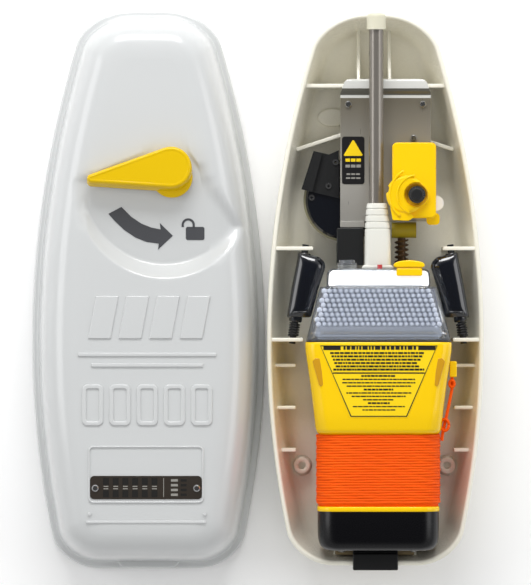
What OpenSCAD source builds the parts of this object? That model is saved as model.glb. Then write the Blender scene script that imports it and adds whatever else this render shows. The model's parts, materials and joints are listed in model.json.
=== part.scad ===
// Emergency position beacon in its open float-free housing.
// The tray lies on its back, its cover lies face up beside it, and the beacon rests in the tray.

/* [Beacon] */
// Width of the yellow body at its top
body_w = 110; // [92:1:132]
// Width of the body where the lanyard is wound
waist_w = 91; // [76:1:109]
// Length of the yellow body below the lens
body_len = 125; // [105:1:150]
// Depth of the beacon from back to front
body_d = 74; // [62:1:88]
// Wall thickness of the beacon's mouldings
body_t = 2.5; // [2:0.1:3]
// Length of the clear lens
lens_len = 55; // [46:1:66]
// Length of the black base cap
cap_len = 32; // [27:1:38]
// Length of the antenna boot
boot_len = 49.5; // [42:0.5:59]
// Length of the antenna whip above its boot
whip_len = 131; // [112:0.5:158]
// Length of the cap on the whip's end
tip_len = 12.5; // [10.5:0.5:15]
// Radius of the antenna whip
whip_r = 5.5; // [4.6:0.1:6.6]
// Thickness of the lanyard cord
lanyard_d = 2.4; // [2:0.1:2.8]

/* [Housing] */
// Room beside the beacon for the retaining arms, out to the tray's edge
side_space = 27; // [24:1:32]
// Room below the beacon's base cap
end_space = 12; // [10:1:14]
// Depth of the tray from its back to its rim
base_h = 50; // [42:1:60]
// Wall thickness of the tray and cover
wall = 3; // [2.5:0.1:3.6]
// How far the cover reaches out past the tray's sides
overhang = 6.5; // [5.4:0.1:7.8]
// Height of the cover
cover_h = 70; // [62:1:84]
// Radius of the holes for the mounting screws
mount_r = 2.75; // [2.3:0.05:3.3]

/* [Release] */
// Radius of the round release unit
disc_r = 29.5; // [25:0.5:35]
// Width of the release box
box_w = 33; // [28:1:39]
// Length of the release box
box_len = 57; // [48:1:68]
// Radius of the release bolt's neck
bolt_r = 3; // [2.5:0.1:3.6]

/* [Cover lever] */
// Radius of the lever's round end
lever_r = 16; // [13.5:0.5:19]
// Reach of the lever from its pivot to its tip
lever_len = 64; // [54:1:76]
// Radius of the lever's shaft
shaft_r = 5; // [4.2:0.1:6]

/* [Hidden] */

$fn = 48;
clear = 0.3;
run_fit = 0.05;
skin = 0.6;

// Places along the object, from the tray's lower end upwards
base_len = cap_len + body_len + lens_len + boot_len + whip_len + tip_len + end_space;
y_cap = -base_len / 2 + end_space;
y_cap_top = y_cap + cap_len;
y_body_top = y_cap_top + body_len;
y_lens_top = y_body_top + lens_len;
y_boot_top = y_lens_top + boot_len;
y_whip_top = y_boot_top + whip_len;
y_wide = y_body_top;

// Tray and cover outlines
base_w = body_w + 2 * side_space;
base_end_w = base_w * 0.49;
base_foot_w = base_w * 0.745;
rim_w = 3.6;
tray_draft = 9;
end_gap = 3.5;
cover_w = base_w + 2 * overhang;
cover_len = base_len + 2 * end_gap;
cover_x = -(base_w + cover_w) / 2 - 1.5;
rim_lap = 6;

// Heights above the tray's back
cradle_h = 6;
beacon_x = 2;
z_back = wall + cradle_h;
z_mid = z_back + body_d / 2;
z_front = z_back + body_d;
tip_r = whip_r + 1.7;
antenna_z = base_h + tip_r + 0.8;
plate_z = base_h - 6;
plate_t = 1.5;
z_box = plate_z + 22;
bolt_x = 30.7;
y_bolt = y_boot_top + 6.2;
z_hook = z_box + 9;
hook_t = 3;

// A ring of points on a rounded rectangle, counter-clockwise
function arc_pts(cx, cy, r, a0, a1, n) =
    [for (i = [0 : n]) [cx + r * cos(a0 + (a1 - a0) * i / n), cy + r * sin(a0 + (a1 - a0) * i / n)]];
function round_rect(w, d, r, n = 5) = concat(
    arc_pts(w / 2 - r, d / 2 - r, r, 0, 90, n),
    arc_pts(r - w / 2, d / 2 - r, r, 90, 180, n),
    arc_pts(r - w / 2, r - d / 2, r, 180, 270, n),
    arc_pts(w / 2 - r, r - d / 2, r, 270, 360, n));

// A ring standing across the Y axis at a given place
function across(pts, x, y, z) = [for (p = pts) [x + p[0], y, z - p[1]]];
function level(pts, z) = [for (p = pts) [p[0], p[1], z]];

// Half width of the housing's outline, falling away from its widest place
function side_at(y, len, w, top_w, foot_w) = w / 2 - (y > y_wide
    ? (w - top_w) / 2 * pow((y - y_wide) / (len / 2 - y_wide), 2)
    : (w - foot_w) / 2 * pow((y_wide - y) / (len / 2 + y_wide), 2));

// The housing's outline: bowed sides and elliptical corners at both ends, set in by a margin
function outline(len, w, top_w, foot_w, inset, steps = 7, sides = 14) =
    let (
        half = len / 2 - inset,
        foot_h = 29.5 - inset * 0.45,
        foot_v = 26 - inset * 0.45,
        top_h = 34 - inset * 0.75,
        top_v = 26 - inset * 0.45,
        y0 = foot_v - half,
        y1 = half - top_v,
        right = concat(
            [for (i = [0 : steps]) let (a = 90 * i / steps, y = foot_v * (1 - cos(a)) - half)
                [side_at(y, len, w, top_w, foot_w) - inset - foot_h * (1 - sin(a)), y]],
            [for (i = [1 : sides - 1]) let (y = y0 + (y1 - y0) * i / sides)
                [side_at(y, len, w, top_w, foot_w) - inset, y]],
            [for (i = [0 : steps]) let (a = 90 - 90 * i / steps, y = half - top_v * (1 - cos(a)))
                [side_at(y, len, w, top_w, foot_w) - inset - top_h * (1 - sin(a)), y]]))
    concat(right, [for (i = [len(right) - 1 : -1 : 0]) [-right[i][0], right[i][1]]]);
function tray_line(inset) = outline(base_len, base_w, base_end_w, base_foot_w, inset);
function cover_line(inset) = outline(cover_len, cover_w, base_end_w + 2 * overhang,
    base_foot_w + 2 * overhang, inset);

// A solid through a list of rings with equal numbers of points, or a loop of them with no ends
function ring_faces(i, k, n) =
    [for (j = [0 : n - 1]) [i * n + j, k * n + j, k * n + (j + 1) % n, i * n + (j + 1) % n]];
module loft(rings, looped = false) {
    n = len(rings[0]);
    last = len(rings) - 1;
    walls = [for (i = [0 : last - 1]) each ring_faces(i, i + 1, n)];
    ends = [[for (j = [0 : n - 1]) j], [for (j = [n - 1 : -1 : 0]) last * n + j]];
    polyhedron(
        points = [for (r = rings) each r],
        faces = concat(walls, looped ? ring_faces(last, 0, n) : ends));
}

// A round bar swept along a list of points
function unit(v) = v / norm(v);
function tangent(path, i) = unit(path[min(i + 1, len(path) - 1)] - path[max(i - 1, 0)]);
function tube_ring(path, i, r, n) =
    let (
        t = tangent(path, i),
        side = unit(cross(t, abs(t[2]) > 0.9 ? [1, 0, 0] : [0, 0, 1])),
        up = cross(side, t))
    [for (j = [0 : n - 1]) path[i] + r * cos(360 * j / n) * side - r * sin(360 * j / n) * up];
module tube(path, r, n = 8) {
    loft([for (i = [0 : len(path) - 1]) tube_ring(path, i, r, n)]);
}

// Simple building shapes
module block(w, len, h, r) {
    linear_extrude(h) polygon(round_rect(w, len, r));
}
module along_y(r, len) {
    rotate([-90, 0, 0]) cylinder(r = r, h = len);
}
module pan_head(r, h) {
    cylinder(r = r, h = h * 0.45);
    translate([0, 0, h * 0.45]) cylinder(r1 = r, r2 = r * 0.7, h = h * 0.55);
}

// Places of the housing's fittings
y_mount_low = y_cap_top + 30.5;
y_mount_up = y_boot_top + 61;
mount_x_low = tray_half(y_mount_low) - 20;
mount_x_up = 19;
y_partition = y_boot_top + 89;
plate_x = 7.8;
plate_w = 68.4;
plate_bend = 75;
y_plate_low = y_boot_top - 13.4;
y_plate_bend = y_boot_top + 14;
disc_x = -23;
y_disc = y_boot_top + 2.6;
z_disc = 30;
box_x = 29;
y_box = y_boot_top + 17.2;
cam_bore = 9.5;
rod_x = 20;
rod_z = z_mid - 6;
drum_r = 6;
y_drum = y_plate_low - drum_r - 0.7;
y_arm_top = y_lens_top + 15.5;
arm_run = 69;
arm_flare = 9.5;
arm_z = base_h - 4;
arm_x = body_w / 2;
arm_pin_r = 2.5;
arm_tilt = atan(arm_flare / arm_run);
arm_len = norm([arm_flare, arm_run]);
rib_t = 3;
function tray_half(y) = side_at(y, base_len, base_w, base_end_w, base_foot_w);

// Solid that just overfills the tray's hollow, to trim the ribs
module tray_hollow() {
    loft([
        level(tray_line(tray_draft + wall + 4.5), wall - 0.5),
        level(tray_line(tray_draft + wall - 0.5), wall + 5),
        level(tray_line(rim_w - 0.5), base_h)]);
}
module cross_rib(x, y, w, top) {
    translate([x - w / 2, y - rib_t / 2, wall - 1]) cube([w, rib_t, top - wall + 1]);
}
module tray_ribs() {
    cross_rib(0, y_partition, base_w, base_h - 5);
    for (x = [-12.5, 11])
        translate([x - rib_t / 2, y_partition, wall - 1]) cube([rib_t, base_len, base_h * 0.7]);
    for (s = [-1, 1])
        translate([s * 45, y_boot_top + 46, wall - 1]) rotate([0, 0, -18 * s])
            translate([-21, -rib_t / 2, 0]) cube([42, rib_t, base_h * 0.55]);
    for (s = [-1, 1]) {
        cross_rib(beacon_x + s * (arm_x - 6 + base_w / 4), y_arm_top, base_w / 2, arm_z + 3);
        cross_rib(beacon_x + s * (arm_x + 1.5 + base_w / 4), y_arm_top - arm_run, base_w / 2, arm_z + 3);
    }
    for (s = [-1, 1], i = [0 : 3])
        cross_rib(s * base_w / 2, y_body_top - 18 - 32 * i, 44, base_h * 0.72);
    for (y = [y_body_top - 12, y_cap_top + 72])
        cross_rib(beacon_x, y, waist_w * 0.7, z_back);
    for (s = [-1, 1])
        translate([s * 30 - rib_t / 2, -base_len / 2, wall - 1]) cube([rib_t, end_space - 1, base_h * 0.6]);
}
module arm_axis(s) {
    translate([beacon_x + s * arm_x, y_arm_top, arm_z])
        rotate([0, 0, s > 0 ? arm_tilt : -arm_tilt])
            mirror([s > 0 ? 0 : 1, 0, 0]) children();
}

// Tray that holds the beacon, with its ribs, bosses and holes
module base_shell() {
    color("#c9c6b4") difference() {
        union() {
            loft([
                level(tray_line(tray_draft + 5), 0),
                level(tray_line(tray_draft), 5),
                level(tray_line(1.6), base_h - rim_lap - 1),
                level(tray_line(0), base_h - rim_lap),
                level(tray_line(0), base_h - 0.8),
                level(tray_line(0.8), base_h),
                level(tray_line(rim_w - 0.8), base_h),
                level(tray_line(rim_w), base_h - 1),
                level(tray_line(rim_w + 1.5), base_h - 8),
                level(tray_line(tray_draft + wall), wall + 5),
                level(tray_line(tray_draft + wall + 5), wall)]);
            intersection() {
                tray_hollow();
                union() {
                    tray_ribs();
                    for (s = [-1, 1]) {
                        translate([s * mount_x_low, y_mount_low, wall - 1])
                            cylinder(r = mount_r + 3.8, h = 9);
                        translate([s * mount_x_up, y_mount_up, wall - 1])
                            cylinder(r = mount_r + 3.8, h = 9);
                    }
                    translate([-34, y_boot_top + 67, wall - 1]) cylinder(r = 9, h = 12);
                }
            }
        }
        for (s = [-1, 1]) {
            translate([s * mount_x_low, y_mount_low, -1]) cylinder(r = mount_r, h = base_h / 2);
            translate([s * mount_x_up, y_mount_up, -1]) cylinder(r = mount_r, h = base_h / 2);
            arm_axis(s) translate([0, 8, 0]) mirror([0, 1, 0]) along_y(arm_pin_r, arm_len + 16);
        }
    }
}

// Bent steel plate that carries the release gear
module backing_plate() {
    y_top = y_partition - rib_t / 2 - clear;
    drop = [for (i = [0 : 6]) let (d = (y_plate_bend - y_plate_low) * i / 6)
        [y_plate_bend - d, plate_z - plate_bend + sqrt(plate_bend * plate_bend - d * d)]];
    line = concat([[y_top, wall], [y_top, plate_z - 2], [y_top - 0.6, plate_z - 0.6],
        [y_top - 2, plate_z]], drop);
    under = [for (i = [len(drop) - 1 : -1 : 0]) drop[i] - [0, plate_t]];
    color("#96918a") difference() {
        translate([plate_x - plate_w / 2, 0, 0])
            rotate([90, 0, 90]) linear_extrude(plate_w)
                polygon(concat(line, under, [[y_top - 2.2, plate_z - plate_t],
                    [y_top - plate_t, plate_z - 2.2], [y_top - plate_t, wall]]));
        translate([bolt_x, y_bolt, 0]) cylinder(r = bolt_r + clear, h = base_h);
    }
}
module plate_screws() {
    color("silver") {
        translate([box_x, y_box + box_len / 2 + 3.6, plate_z]) pan_head(2.6, 1.8);
        translate([plate_x - plate_w / 2 + 6, y_partition - 14, plate_z]) pan_head(2.6, 1.8);
        translate([plate_x + plate_w / 2 - 6, y_partition - 14, plate_z]) pan_head(2.6, 1.8);
    }
}

// Dark warning label with a plain triangle
module plate_label() {
    color("#1c1c20") translate([-16.7, y_boot_top + 32.6, plate_z]) block(17, 36, 0.3, 2);
}

// Round water-pressure release unit behind the plate
module release_disc() {
    color("#15151a") translate([disc_x, y_disc, wall]) {
        cylinder(r = disc_r, h = z_disc - wall - 1.5);
        translate([0, 0, z_disc - wall - 1.5]) cylinder(r1 = disc_r, r2 = disc_r - 1.5, h = 1.5);
    }
}
module disc_ring() {
    color("#a9a585") translate([disc_x, y_disc, z_disc - 7]) difference() {
        cylinder(r = disc_r + 1.7, h = 4);
        translate([0, 0, -1]) cylinder(r = disc_r, h = 6);
    }
}
module disc_bracket() {
    x = plate_x - plate_w / 2 - 1;
    color("#1b1b20") difference() {
        translate([0, y_disc, z_disc]) {
            linear_extrude(2) polygon([[x, 38], [-34.9, 34.7], [-46.6, 37.3], [-55.8, 8.3], [x, 1.5]]);
            linear_extrude(5) polygon([[-40, 35.8], [-46.6, 37.3], [-55.8, 8.3], [-47.5, 6.3]]);
        }
        translate([-29.9, y_disc + 28.8, 0]) cylinder(r = 1.4, h = base_h);
        translate([-35.2, y_disc + 10.8, 0]) cylinder(r = 1.4, h = base_h);
    }
}
module hollow_rivet(x, y, z, reach) {
    translate([x, y, z]) difference() {
        union() {
            cylinder(r = 2.3, h = 0.8);
            if (reach > 0) translate([0, 0, -reach]) cylinder(r = 1.4, h = reach);
        }
        translate([0, 0, -reach - 1]) cylinder(r = 0.9, h = reach + 3);
    }
}
module bracket_rivets() {
    color("#8d8d92") {
        hollow_rivet(-29.9, y_disc + 28.8, z_disc + 2, 2);
        hollow_rivet(-35.2, y_disc + 10.8, z_disc + 2, 2);
        hollow_rivet(disc_x - 25, y_disc + 2, z_disc, 0);
    }
}

// Yellow release box with a raised collar round the bolt
module release_box() {
    z0 = plate_z + 2.5;
    color("#f0d008") difference() {
        union() {
            translate([box_x, y_box, z0]) block(box_w, box_len, z_box - z0 - 1, 3.5);
            translate([box_x, y_box, z_box - 1.01]) block(box_w - 1.4, box_len - 1.4, 1.01, 3);
            translate([box_x + box_w / 2 - 2, y_bolt - 18, z0]) block(10, 9, 7, 3);
            translate([bolt_x, y_bolt, z_box - 1]) cylinder(r = cam_bore - run_fit, h = 4);
            translate([box_x - 9, y_box - 2, plate_z]) cylinder(r = 4, h = 3);
            translate([box_x + 9, y_box + 16, plate_z]) cylinder(r = 4, h = 3);
        }
        translate([bolt_x, y_bolt, z_box - 8]) cylinder(r = cam_bore - 2, h = 20);
        translate([bolt_x, y_bolt, 0]) cylinder(r = bolt_r + clear, h = 100);
    }
}
module release_cam() {
    color("#e9c800") translate([bolt_x, y_bolt, z_box + 0.1]) difference() {
        union() {
            translate([-8.4, 0.2, 0]) cylinder(r = 14.5, h = 4.5);
            translate([-8.4, 0.2, 4.5]) cylinder(r1 = 14.5, r2 = 12.5, h = 1.5);
            linear_extrude(5) polygon([[-20, -9], [-13, -3], [-2, -17], [-6, -19.5], [-18, -19]]);
        }
        translate([0, 0, -1]) cylinder(r = cam_bore, h = 12);
        translate([-24, 4.5, -1]) cylinder(r = 3.4, h = 12);
    }
}
module release_bolt() {
    z = z_hook + hook_t + clear + 1.5;
    color("#15151a") translate([bolt_x, y_bolt, 0]) {
        translate([0, 0, plate_z - plate_t - 3]) cylinder(r = bolt_r, h = z - plate_z + plate_t + 3);
        translate([0, 0, z]) cylinder(r = 5, h = 3.5);
        translate([0, 0, z + 3.5]) cylinder(r1 = 5, r2 = 4, h = 1);
    }
}
module bolt_ring() {
    color("silver") translate([bolt_x, y_bolt, z_hook + hook_t + clear]) difference() {
        cylinder(r = 6.4, h = 1.5);
        translate([0, 0, -1]) cylinder(r = bolt_r, h = 4);
    }
}
module float_washer() {
    color("white") translate([box_x + box_w / 2 + 0.5, y_bolt - 6, plate_z]) cylinder(r = 5.7, h = 2.5);
}

// Sprung ejector that pushes on the beacon's top
module ejector_drum() {
    color("#9b8d1c") translate([box_x - 16.5, y_drum, rod_z]) rotate([0, 90, 0]) cylinder(r = drum_r, h = 18.5);
}
module ejector_rod() {
    end = y_lens_top + 1.5;
    color("#4a3c28") translate([rod_x, end, rod_z]) along_y(3, y_drum - drum_r - end);
}
function coil(r, pitch, turns, per_turn = 10) =
    [for (i = [0 : turns * per_turn]) let (a = 360 * i / per_turn)
        [r * cos(a), r * sin(a), pitch * i / per_turn]];
module ejector_spring() {
    run = y_drum - drum_r - y_lens_top - 5;
    color("#4a4038") translate([rod_x, y_lens_top + 3.5, rod_z]) rotate([-90, 0, 0])
        tube(coil(4.6, run / 5, 5), 0.8, 8);
}
module rest_block() {
    y0 = y_lens_top + 3;
    y1 = y_disc - disc_r - 2.2;
    color("#1d1e1f") {
        translate([-29, y0, wall]) cube([20.3, y1 - y0, base_h - 8 - wall]);
        translate([-29, y1, z_disc + 0.8]) cube([20.3, y_plate_low - y1 - 5, base_h - 8 - z_disc - 0.8]);
    }
}

// Black hinge tab hooked over the tray's lower rim
module hinge_tab() {
    y0 = -base_len / 2;
    color("#1a1b1e") translate([-17, y0, 0]) {
        translate([0, -3.5, base_h]) cube([34, 12.5, 3]);
        translate([0, rim_w + 2.4, base_h - 9]) cube([34, 5, 9.01]);
        translate([0, -3.5, base_h - 4]) cube([34, 3.2, 4.01]);
    }
}

// Retaining arms that hold the beacon's shoulders, with their pins and springs
module arm_shape(s) {
    reach = body_w / 2 - lens_top_w / 2 + 0.8;
    waist = body_w / 2 - lens_shoulder_w / 2 + 2.9;
    color("#15171c") arm_axis(s) difference() {
        union() {
            translate([0, -3.5, 0]) mirror([0, 1, 0]) along_y(5, 52.5);
            translate([0, 0, -2]) linear_extrude(10)
                polygon([[4.5, -3.5], [4.5, -52], [-10, -50],
                    [-waist, -29.5], [-reach, -11], [-12, -5]]);
        }
        translate([0, 1, 0]) mirror([0, 1, 0]) along_y(arm_pin_r + run_fit, 60);
    }
}
module arm_left() {
    arm_shape(-1);
}
module arm_right() {
    arm_shape(1);
}
module arm_pins() {
    color("#2a2c30") for (s = [-1, 1])
        arm_axis(s) translate([0, 3, 0]) mirror([0, 1, 0]) along_y(arm_pin_r, arm_len + 6);
}
module arm_spring(s) {
    color("silver") arm_axis(s) translate([0, -57, 0]) rotate([90, 0, 0]) tube(coil(3.5, 1.9, 5), 0.7, 8);
}
module arm_spring_left() {
    arm_spring(-1);
}
module arm_spring_right() {
    arm_spring(1);
}

// Places on the cover, from the cover's own centre
lever_x = 18;
y_lever = y_boot_top + 26.7;
scoop_tilt = 6.8;
y_scoop = y_lever + 18.3;
lever_z = cover_h + 0.4;
z_hook_cover = z_hook - (base_h - rim_lap);
y_plate = 63 - cover_len / 2;
plate_len = 84;
plate_h = 17.5;
relief = 0.8;

module on_cover() {
    translate([cover_x, 0, 0]) children();
}
// The sloping floor of the scoop round the lever
module on_scoop() {
    translate([0, y_scoop, cover_h]) rotate([scoop_tilt, 0, 0]) translate([0, -y_scoop, 0]) children();
}
module scoop_shape(more) {
    translate([lever_x, y_lever]) intersection() {
        translate([-12, -19.7]) circle(r = lever_len - 1 + more, $fn = 96);
        polygon([[-90, -8 + more], [-70, -5.7 + more], [2 - more, 9.3 + more], [17 + more, 11.8 + more],
            [50 + more, -40.7], [90, -100], [-90, -100]]);
    }
}

// Raised plain shapes on the cover's face
module slant(x, y, w, h, lean) {
    translate([x, y]) polygon([[-w / 2, 0], [w / 2, 0], [w / 2 + lean, h], [lean - w / 2, h]]);
}
module frame_line(w, h, r, t) {
    difference() {
        polygon(round_rect(w, h, r));
        polygon(round_rect(w - 2 * t, h - 2 * t, r - t));
    }
}
module cover_relief() {
    translate([0, 0, cover_h - 1.5]) linear_extrude(relief + 1.5) {
        for (i = [0 : 3]) slant(-36 + 23 * i, y_plate + 112, 17, 32, 6);
        for (i = [0 : 1]) translate([0, y_plate + 100 - 8 * i]) square([104 - 20 * i, 2.6], center = true);
        for (i = [-2 : 2]) translate([20.5 * i, y_plate + 62]) frame_line(16, 31, 4, 3.2);
        translate([-0.9, y_plate + 9.8]) frame_line(87, 43, 4, 1.3);
        translate([-0.9, y_plate - 26]) square([90, 2], center = true);
        for (s = [-1, 1]) translate([s * 43.4, y_plate - 20]) circle(r = 1.3);
    }
}

// Domed cover with a scoop for the lever and a hinge slot at its foot
module cover_shell() {
    h = cover_h;
    color("#cdcfcf") on_cover() difference() {
        union() {
            loft([
                level(cover_line(38), h - wall),
                level(cover_line(30), h - wall - 0.9),
                level(cover_line(23.5), h - wall - 3.6),
                level(cover_line(18), h - wall - 9),
                level(cover_line(13.5), h - wall - 18),
                level(cover_line(10), h * 0.45),
                level(cover_line(7.8), 7),
                level(cover_line(4), 5.4),
                level(cover_line(wall), 0),
                level(cover_line(0), 0),
                level(cover_line(0), 6),
                level(cover_line(0.8), 7),
                level(cover_line(4), 7.6),
                level(cover_line(4.8), 8.6),
                level(cover_line(7), h * 0.45),
                level(cover_line(10.5), h - 18),
                level(cover_line(15), h - 9),
                level(cover_line(21), h - 3.6),
                level(cover_line(28), h - 0.9),
                level(cover_line(38), h)]);
            intersection() {
                on_scoop() translate([0, 0, -wall]) linear_extrude(20) scoop_shape(wall);
                translate([-100, 0, h - 25]) cube([200, base_len / 2, 24]);
            }
            on_scoop() translate([lever_x, y_lever, -wall - 9]) cylinder(r = shaft_r + 4, h = 10);
            cover_relief();
            translate([0, 4 - cover_len / 2, 0]) linear_extrude(15)
                polygon([[-20, -4], [20, -4], [28, 7], [-28, 7]]);
        }
        on_scoop() linear_extrude(30) scoop_shape(0);
        translate([lever_x, y_lever, h / 2]) cylinder(r = shaft_r + run_fit, h = h);
        translate([-18, -1 - cover_len / 2, -1]) cube([36, 9.5, 12.5]);
    }
}
module cover_seal() {
    color("#3a3a3c") on_cover() translate([0, 0, 2]) linear_extrude(2.8) difference() {
        polygon(cover_line(3.7));
        polygon(cover_line(5.8));
    }
}
module expiry_plate() {
    color("#3c3732") on_cover() translate([-0.9, y_plate, cover_h])
        block(plate_len, plate_h, skin, 3);
}
module expiry_rivets() {
    color("silver") on_cover() for (s = [-1, 1])
        translate([s * (plate_len / 2 - 3.8) - 0.9, y_plate - 0.5, cover_h + skin]) pan_head(2.6, 1.4);
}

// Dark turning arrow and a plain open padlock in the scoop
module open_arrow() {
    r = lever_len * 0.66;
    color("#424246") on_cover() on_scoop() linear_extrude(0.4) {
        translate([lever_x - 9, y_lever - 11.7]) {
            polygon(concat(
                [for (i = [0 : 10]) let (a = 213 + 5.2 * i) (r + 4 + 0.1 * i) * [cos(a), sin(a)]],
                [[1, -r - 10.2], [9, -r - 0.5], [1, -r + 9.8]],
                [for (i = [10 : -1 : 0]) let (a = 213 + 5.2 * i) (r - 3 - 0.1 * i) * [cos(a), sin(a)]]));
        }
        translate([lever_x + 18, y_lever - 50]) {
            polygon(round_rect(14, 10, 1.5));
            translate([-7.5, 5]) difference() {
                circle(r = 5);
                circle(r = 3.2);
                translate([-6, -6]) square([12, 5]);
            }
            translate([-4.3, 4]) square([1.8, 2]);
        }
    }
}

// Lever, its shaft and the latch under the cover
module at_lever() {
    on_cover() translate([lever_x, y_lever, 0]) children();
}
module lever_outline(less) {
    hull() {
        circle(r = lever_r - less);
        rotate(188) translate([lever_len - 2.6, 0]) circle(r = 2.6 - less * 0.6);
    }
}
module lever() {
    color("#dcbc00") at_lever() difference() {
        translate([0, 0, lever_z]) {
            linear_extrude(8.5) lever_outline(0);
            translate([0, 0, 8.5]) linear_extrude(2) lever_outline(1.6);
        }
        cylinder(r = shaft_r, h = lever_z + 6);
    }
}
module lever_shaft() {
    color("silver") at_lever() translate([0, 0, z_hook_cover])
        cylinder(r = shaft_r, h = lever_z + 6 - z_hook_cover);
}
module lever_washer() {
    z = cover_h - wall - 13.6;
    color("gray") at_lever() translate([0, 0, z]) difference() {
        cylinder(r = shaft_r + 3.5, h = 1.2);
        translate([0, 0, -1]) cylinder(r = shaft_r, h = 4);
    }
}
module hook_plate() {
    to_bolt = [bolt_x - lever_x, y_bolt - y_lever];
    a = atan2(to_bolt[1], to_bolt[0]);
    reach = norm(to_bolt);
    color("silver") at_lever() translate([0, 0, z_hook_cover]) rotate(a) difference() {
        union() {
            cylinder(r = shaft_r + 5, h = hook_t);
            translate([0, -7, 0]) cube([reach, 14, hook_t]);
            translate([reach, 0, 0]) cylinder(r = 7, h = hook_t);
        }
        translate([0, 0, -1]) cylinder(r = shaft_r, h = 9);
        translate([reach, 0, -1]) cylinder(r = bolt_r + clear, h = 9);
        translate([reach - bolt_r - clear, -20, -1]) cube([2 * (bolt_r + clear), 20, 9]);
    }
}
module hook_screw() {
    color("gray") at_lever() translate([0, 0, z_hook_cover]) mirror([0, 0, 1]) pan_head(7, 3);
}

// Sizes across the beacon
lens_top_w = body_w * 0.7;
lens_shoulder_w = body_w * 0.806;
y_shoulder = y_lens_top - lens_len * 0.247;
core_w = waist_w - 2.2;
core_d = body_d - 10;
wind_len = 56;
y_wind = y_cap_top + wind_len;
seal_t = 1;
boot_w = 20.4;
y_lug = y_body_top - 20;
lug_up = (y_lug - y_wind + 1.5) / (body_len - wind_len - 12);
lug_x = beacon_x + waist_w / 2 + 1.8 + (body_w - waist_w - 4.6) / 2 * lug_up;
board_w = waist_w - 7.4;
button_x = beacon_x + 28;
button_z = z_mid - 18;
button_r = 4;
// The lanyard's loose end, from the lug down to the winding
tail_route = [[57.4, -66, 62], [57.8, -69, 62], [57.7, -73, 62.5], [57.1, -77, 63], [56.3, -81, 63.5],
    [55.5, -85, 64], [54.7, -89, 64], [53.8, -93, 64.5], [52.9, -97, 64.5], [52, -101, 64.5],
    [51.2, -105, 64.5], [50.5, -108, 64.5], [50.1, -111, 64.5], [49.8, -114, 64.5]];

module section_loft(rows, looped = false) {
    loft([for (r = rows) across(round_rect(r[1], r[2], r[3]), beacon_x, r[0], z_mid)], looped);
}

// Yellow body, open at both ends
module body_shell() {
    t = 2 * body_t;
    step = y_wind + 4;
    color("#fadc14") section_loft([
        [y_cap_top + seal_t, core_w, core_d, 14],
        [y_wind, core_w, core_d, 14],
        [y_wind + 0.5, waist_w + 1, body_d - 3, 12],
        [step, waist_w + 4, body_d, 12],
        [y_body_top - 8, body_w - 0.6, body_d, 10],
        [y_body_top - 1, body_w, body_d, 9],
        [y_body_top, body_w - 1, body_d - 1, 9],
        [y_body_top, body_w - t, body_d - t, 7],
        [step, waist_w + 4 - t, body_d - t, 9],
        [y_wind - 6, core_w - t, core_d - t, 11],
        [y_cap_top + seal_t, core_w - t, core_d - t, 11]], true);
}

// Clear lens with a stepped shoulder
module lens() {
    t = 2 * body_t;
    color("white", 0.5) difference() {
        section_loft([
            [y_lens_top - body_t, lens_top_w - 8 - t, body_d - 18 - t, 6],
            [y_lens_top - 5, lens_top_w - 2 - t, body_d - 12 - t, 7],
            [y_shoulder - body_t, lens_top_w - t, body_d - 11 - t, 7],
            [y_shoulder - body_t - 1, lens_shoulder_w - t, body_d - 6 - t, 7],
            [y_body_top + seal_t, body_w - 1.4 - t, body_d - 1 - t, 7],
            [y_body_top + seal_t, body_w - 1.4, body_d - 1, 9],
            [y_shoulder - 1, lens_shoulder_w, body_d - 6, 9],
            [y_shoulder, lens_shoulder_w - 2, body_d - 7, 8],
            [y_shoulder + 0.5, lens_top_w + 1, body_d - 11, 8],
            [y_lens_top - 3, lens_top_w, body_d - 12, 8],
            [y_lens_top, lens_top_w - 5, body_d - 17, 7]]);
        translate([button_x, y_lens_top - 9, button_z]) along_y(button_r + run_fit, 20);
    }
}
module reflector() {
    t = 3;
    color("#d8dade") section_loft([
        [y_body_top + seal_t + 1, body_w - 10, body_d - 10, 7],
        [y_shoulder - 7, lens_shoulder_w - 10, body_d - 15, 7],
        [y_shoulder - 7 - t, lens_shoulder_w - 16, body_d - 21, 5],
        [y_body_top + seal_t + 1, body_w - 16, body_d - 16, 5]], true);
}
module lens_seal() {
    color("#55575a") section_loft([
        [y_body_top, body_w - 2, body_d - 2, 9],
        [y_body_top + seal_t, body_w - 2, body_d - 2, 9],
        [y_body_top + seal_t, body_w - 5, body_d - 5, 7],
        [y_body_top, body_w - 5, body_d - 5, 7]], true);
}
module base_cap() {
    t = 2 * body_t;
    color("#1b1c1f") section_loft([
        [y_cap, waist_w - 15, core_d - 10, 9],
        [y_cap + 2.5, waist_w - 5, core_d, 12],
        [y_cap + 8, waist_w - 0.4, core_d + 4, 14],
        [y_cap_top - 2, waist_w, core_d + 5, 14],
        [y_cap_top, waist_w - 2, core_d + 3, 14],
        [y_cap_top, waist_w - 2 - 2 * t, core_d + 3 - 2 * t, 10],
        [y_cap + 8, waist_w - 2 - 2 * t, core_d + 3 - 2 * t, 10],
        [y_cap + body_t + 1, waist_w - 18 - t, core_d - 12 - t, 6]]);
}
module cap_seal() {
    color("#2c2c2e") section_loft([
        [y_cap_top, core_w - 1, core_d - 1, 13],
        [y_cap_top + seal_t, core_w - 1, core_d - 1, 13],
        [y_cap_top + seal_t, core_w - 4, core_d - 4, 11],
        [y_cap_top, core_w - 4, core_d - 4, 11]], true);
}
module front_label() {
    top = body_w * 0.405;
    low = body_w * 0.196;
    color("#e6c200") translate([beacon_x, y_body_top - 2, z_front]) linear_extrude(0.3)
        polygon([[-top, 0], [top, 0], [low, -54.5], [-low, -54.5]]);
}

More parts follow.
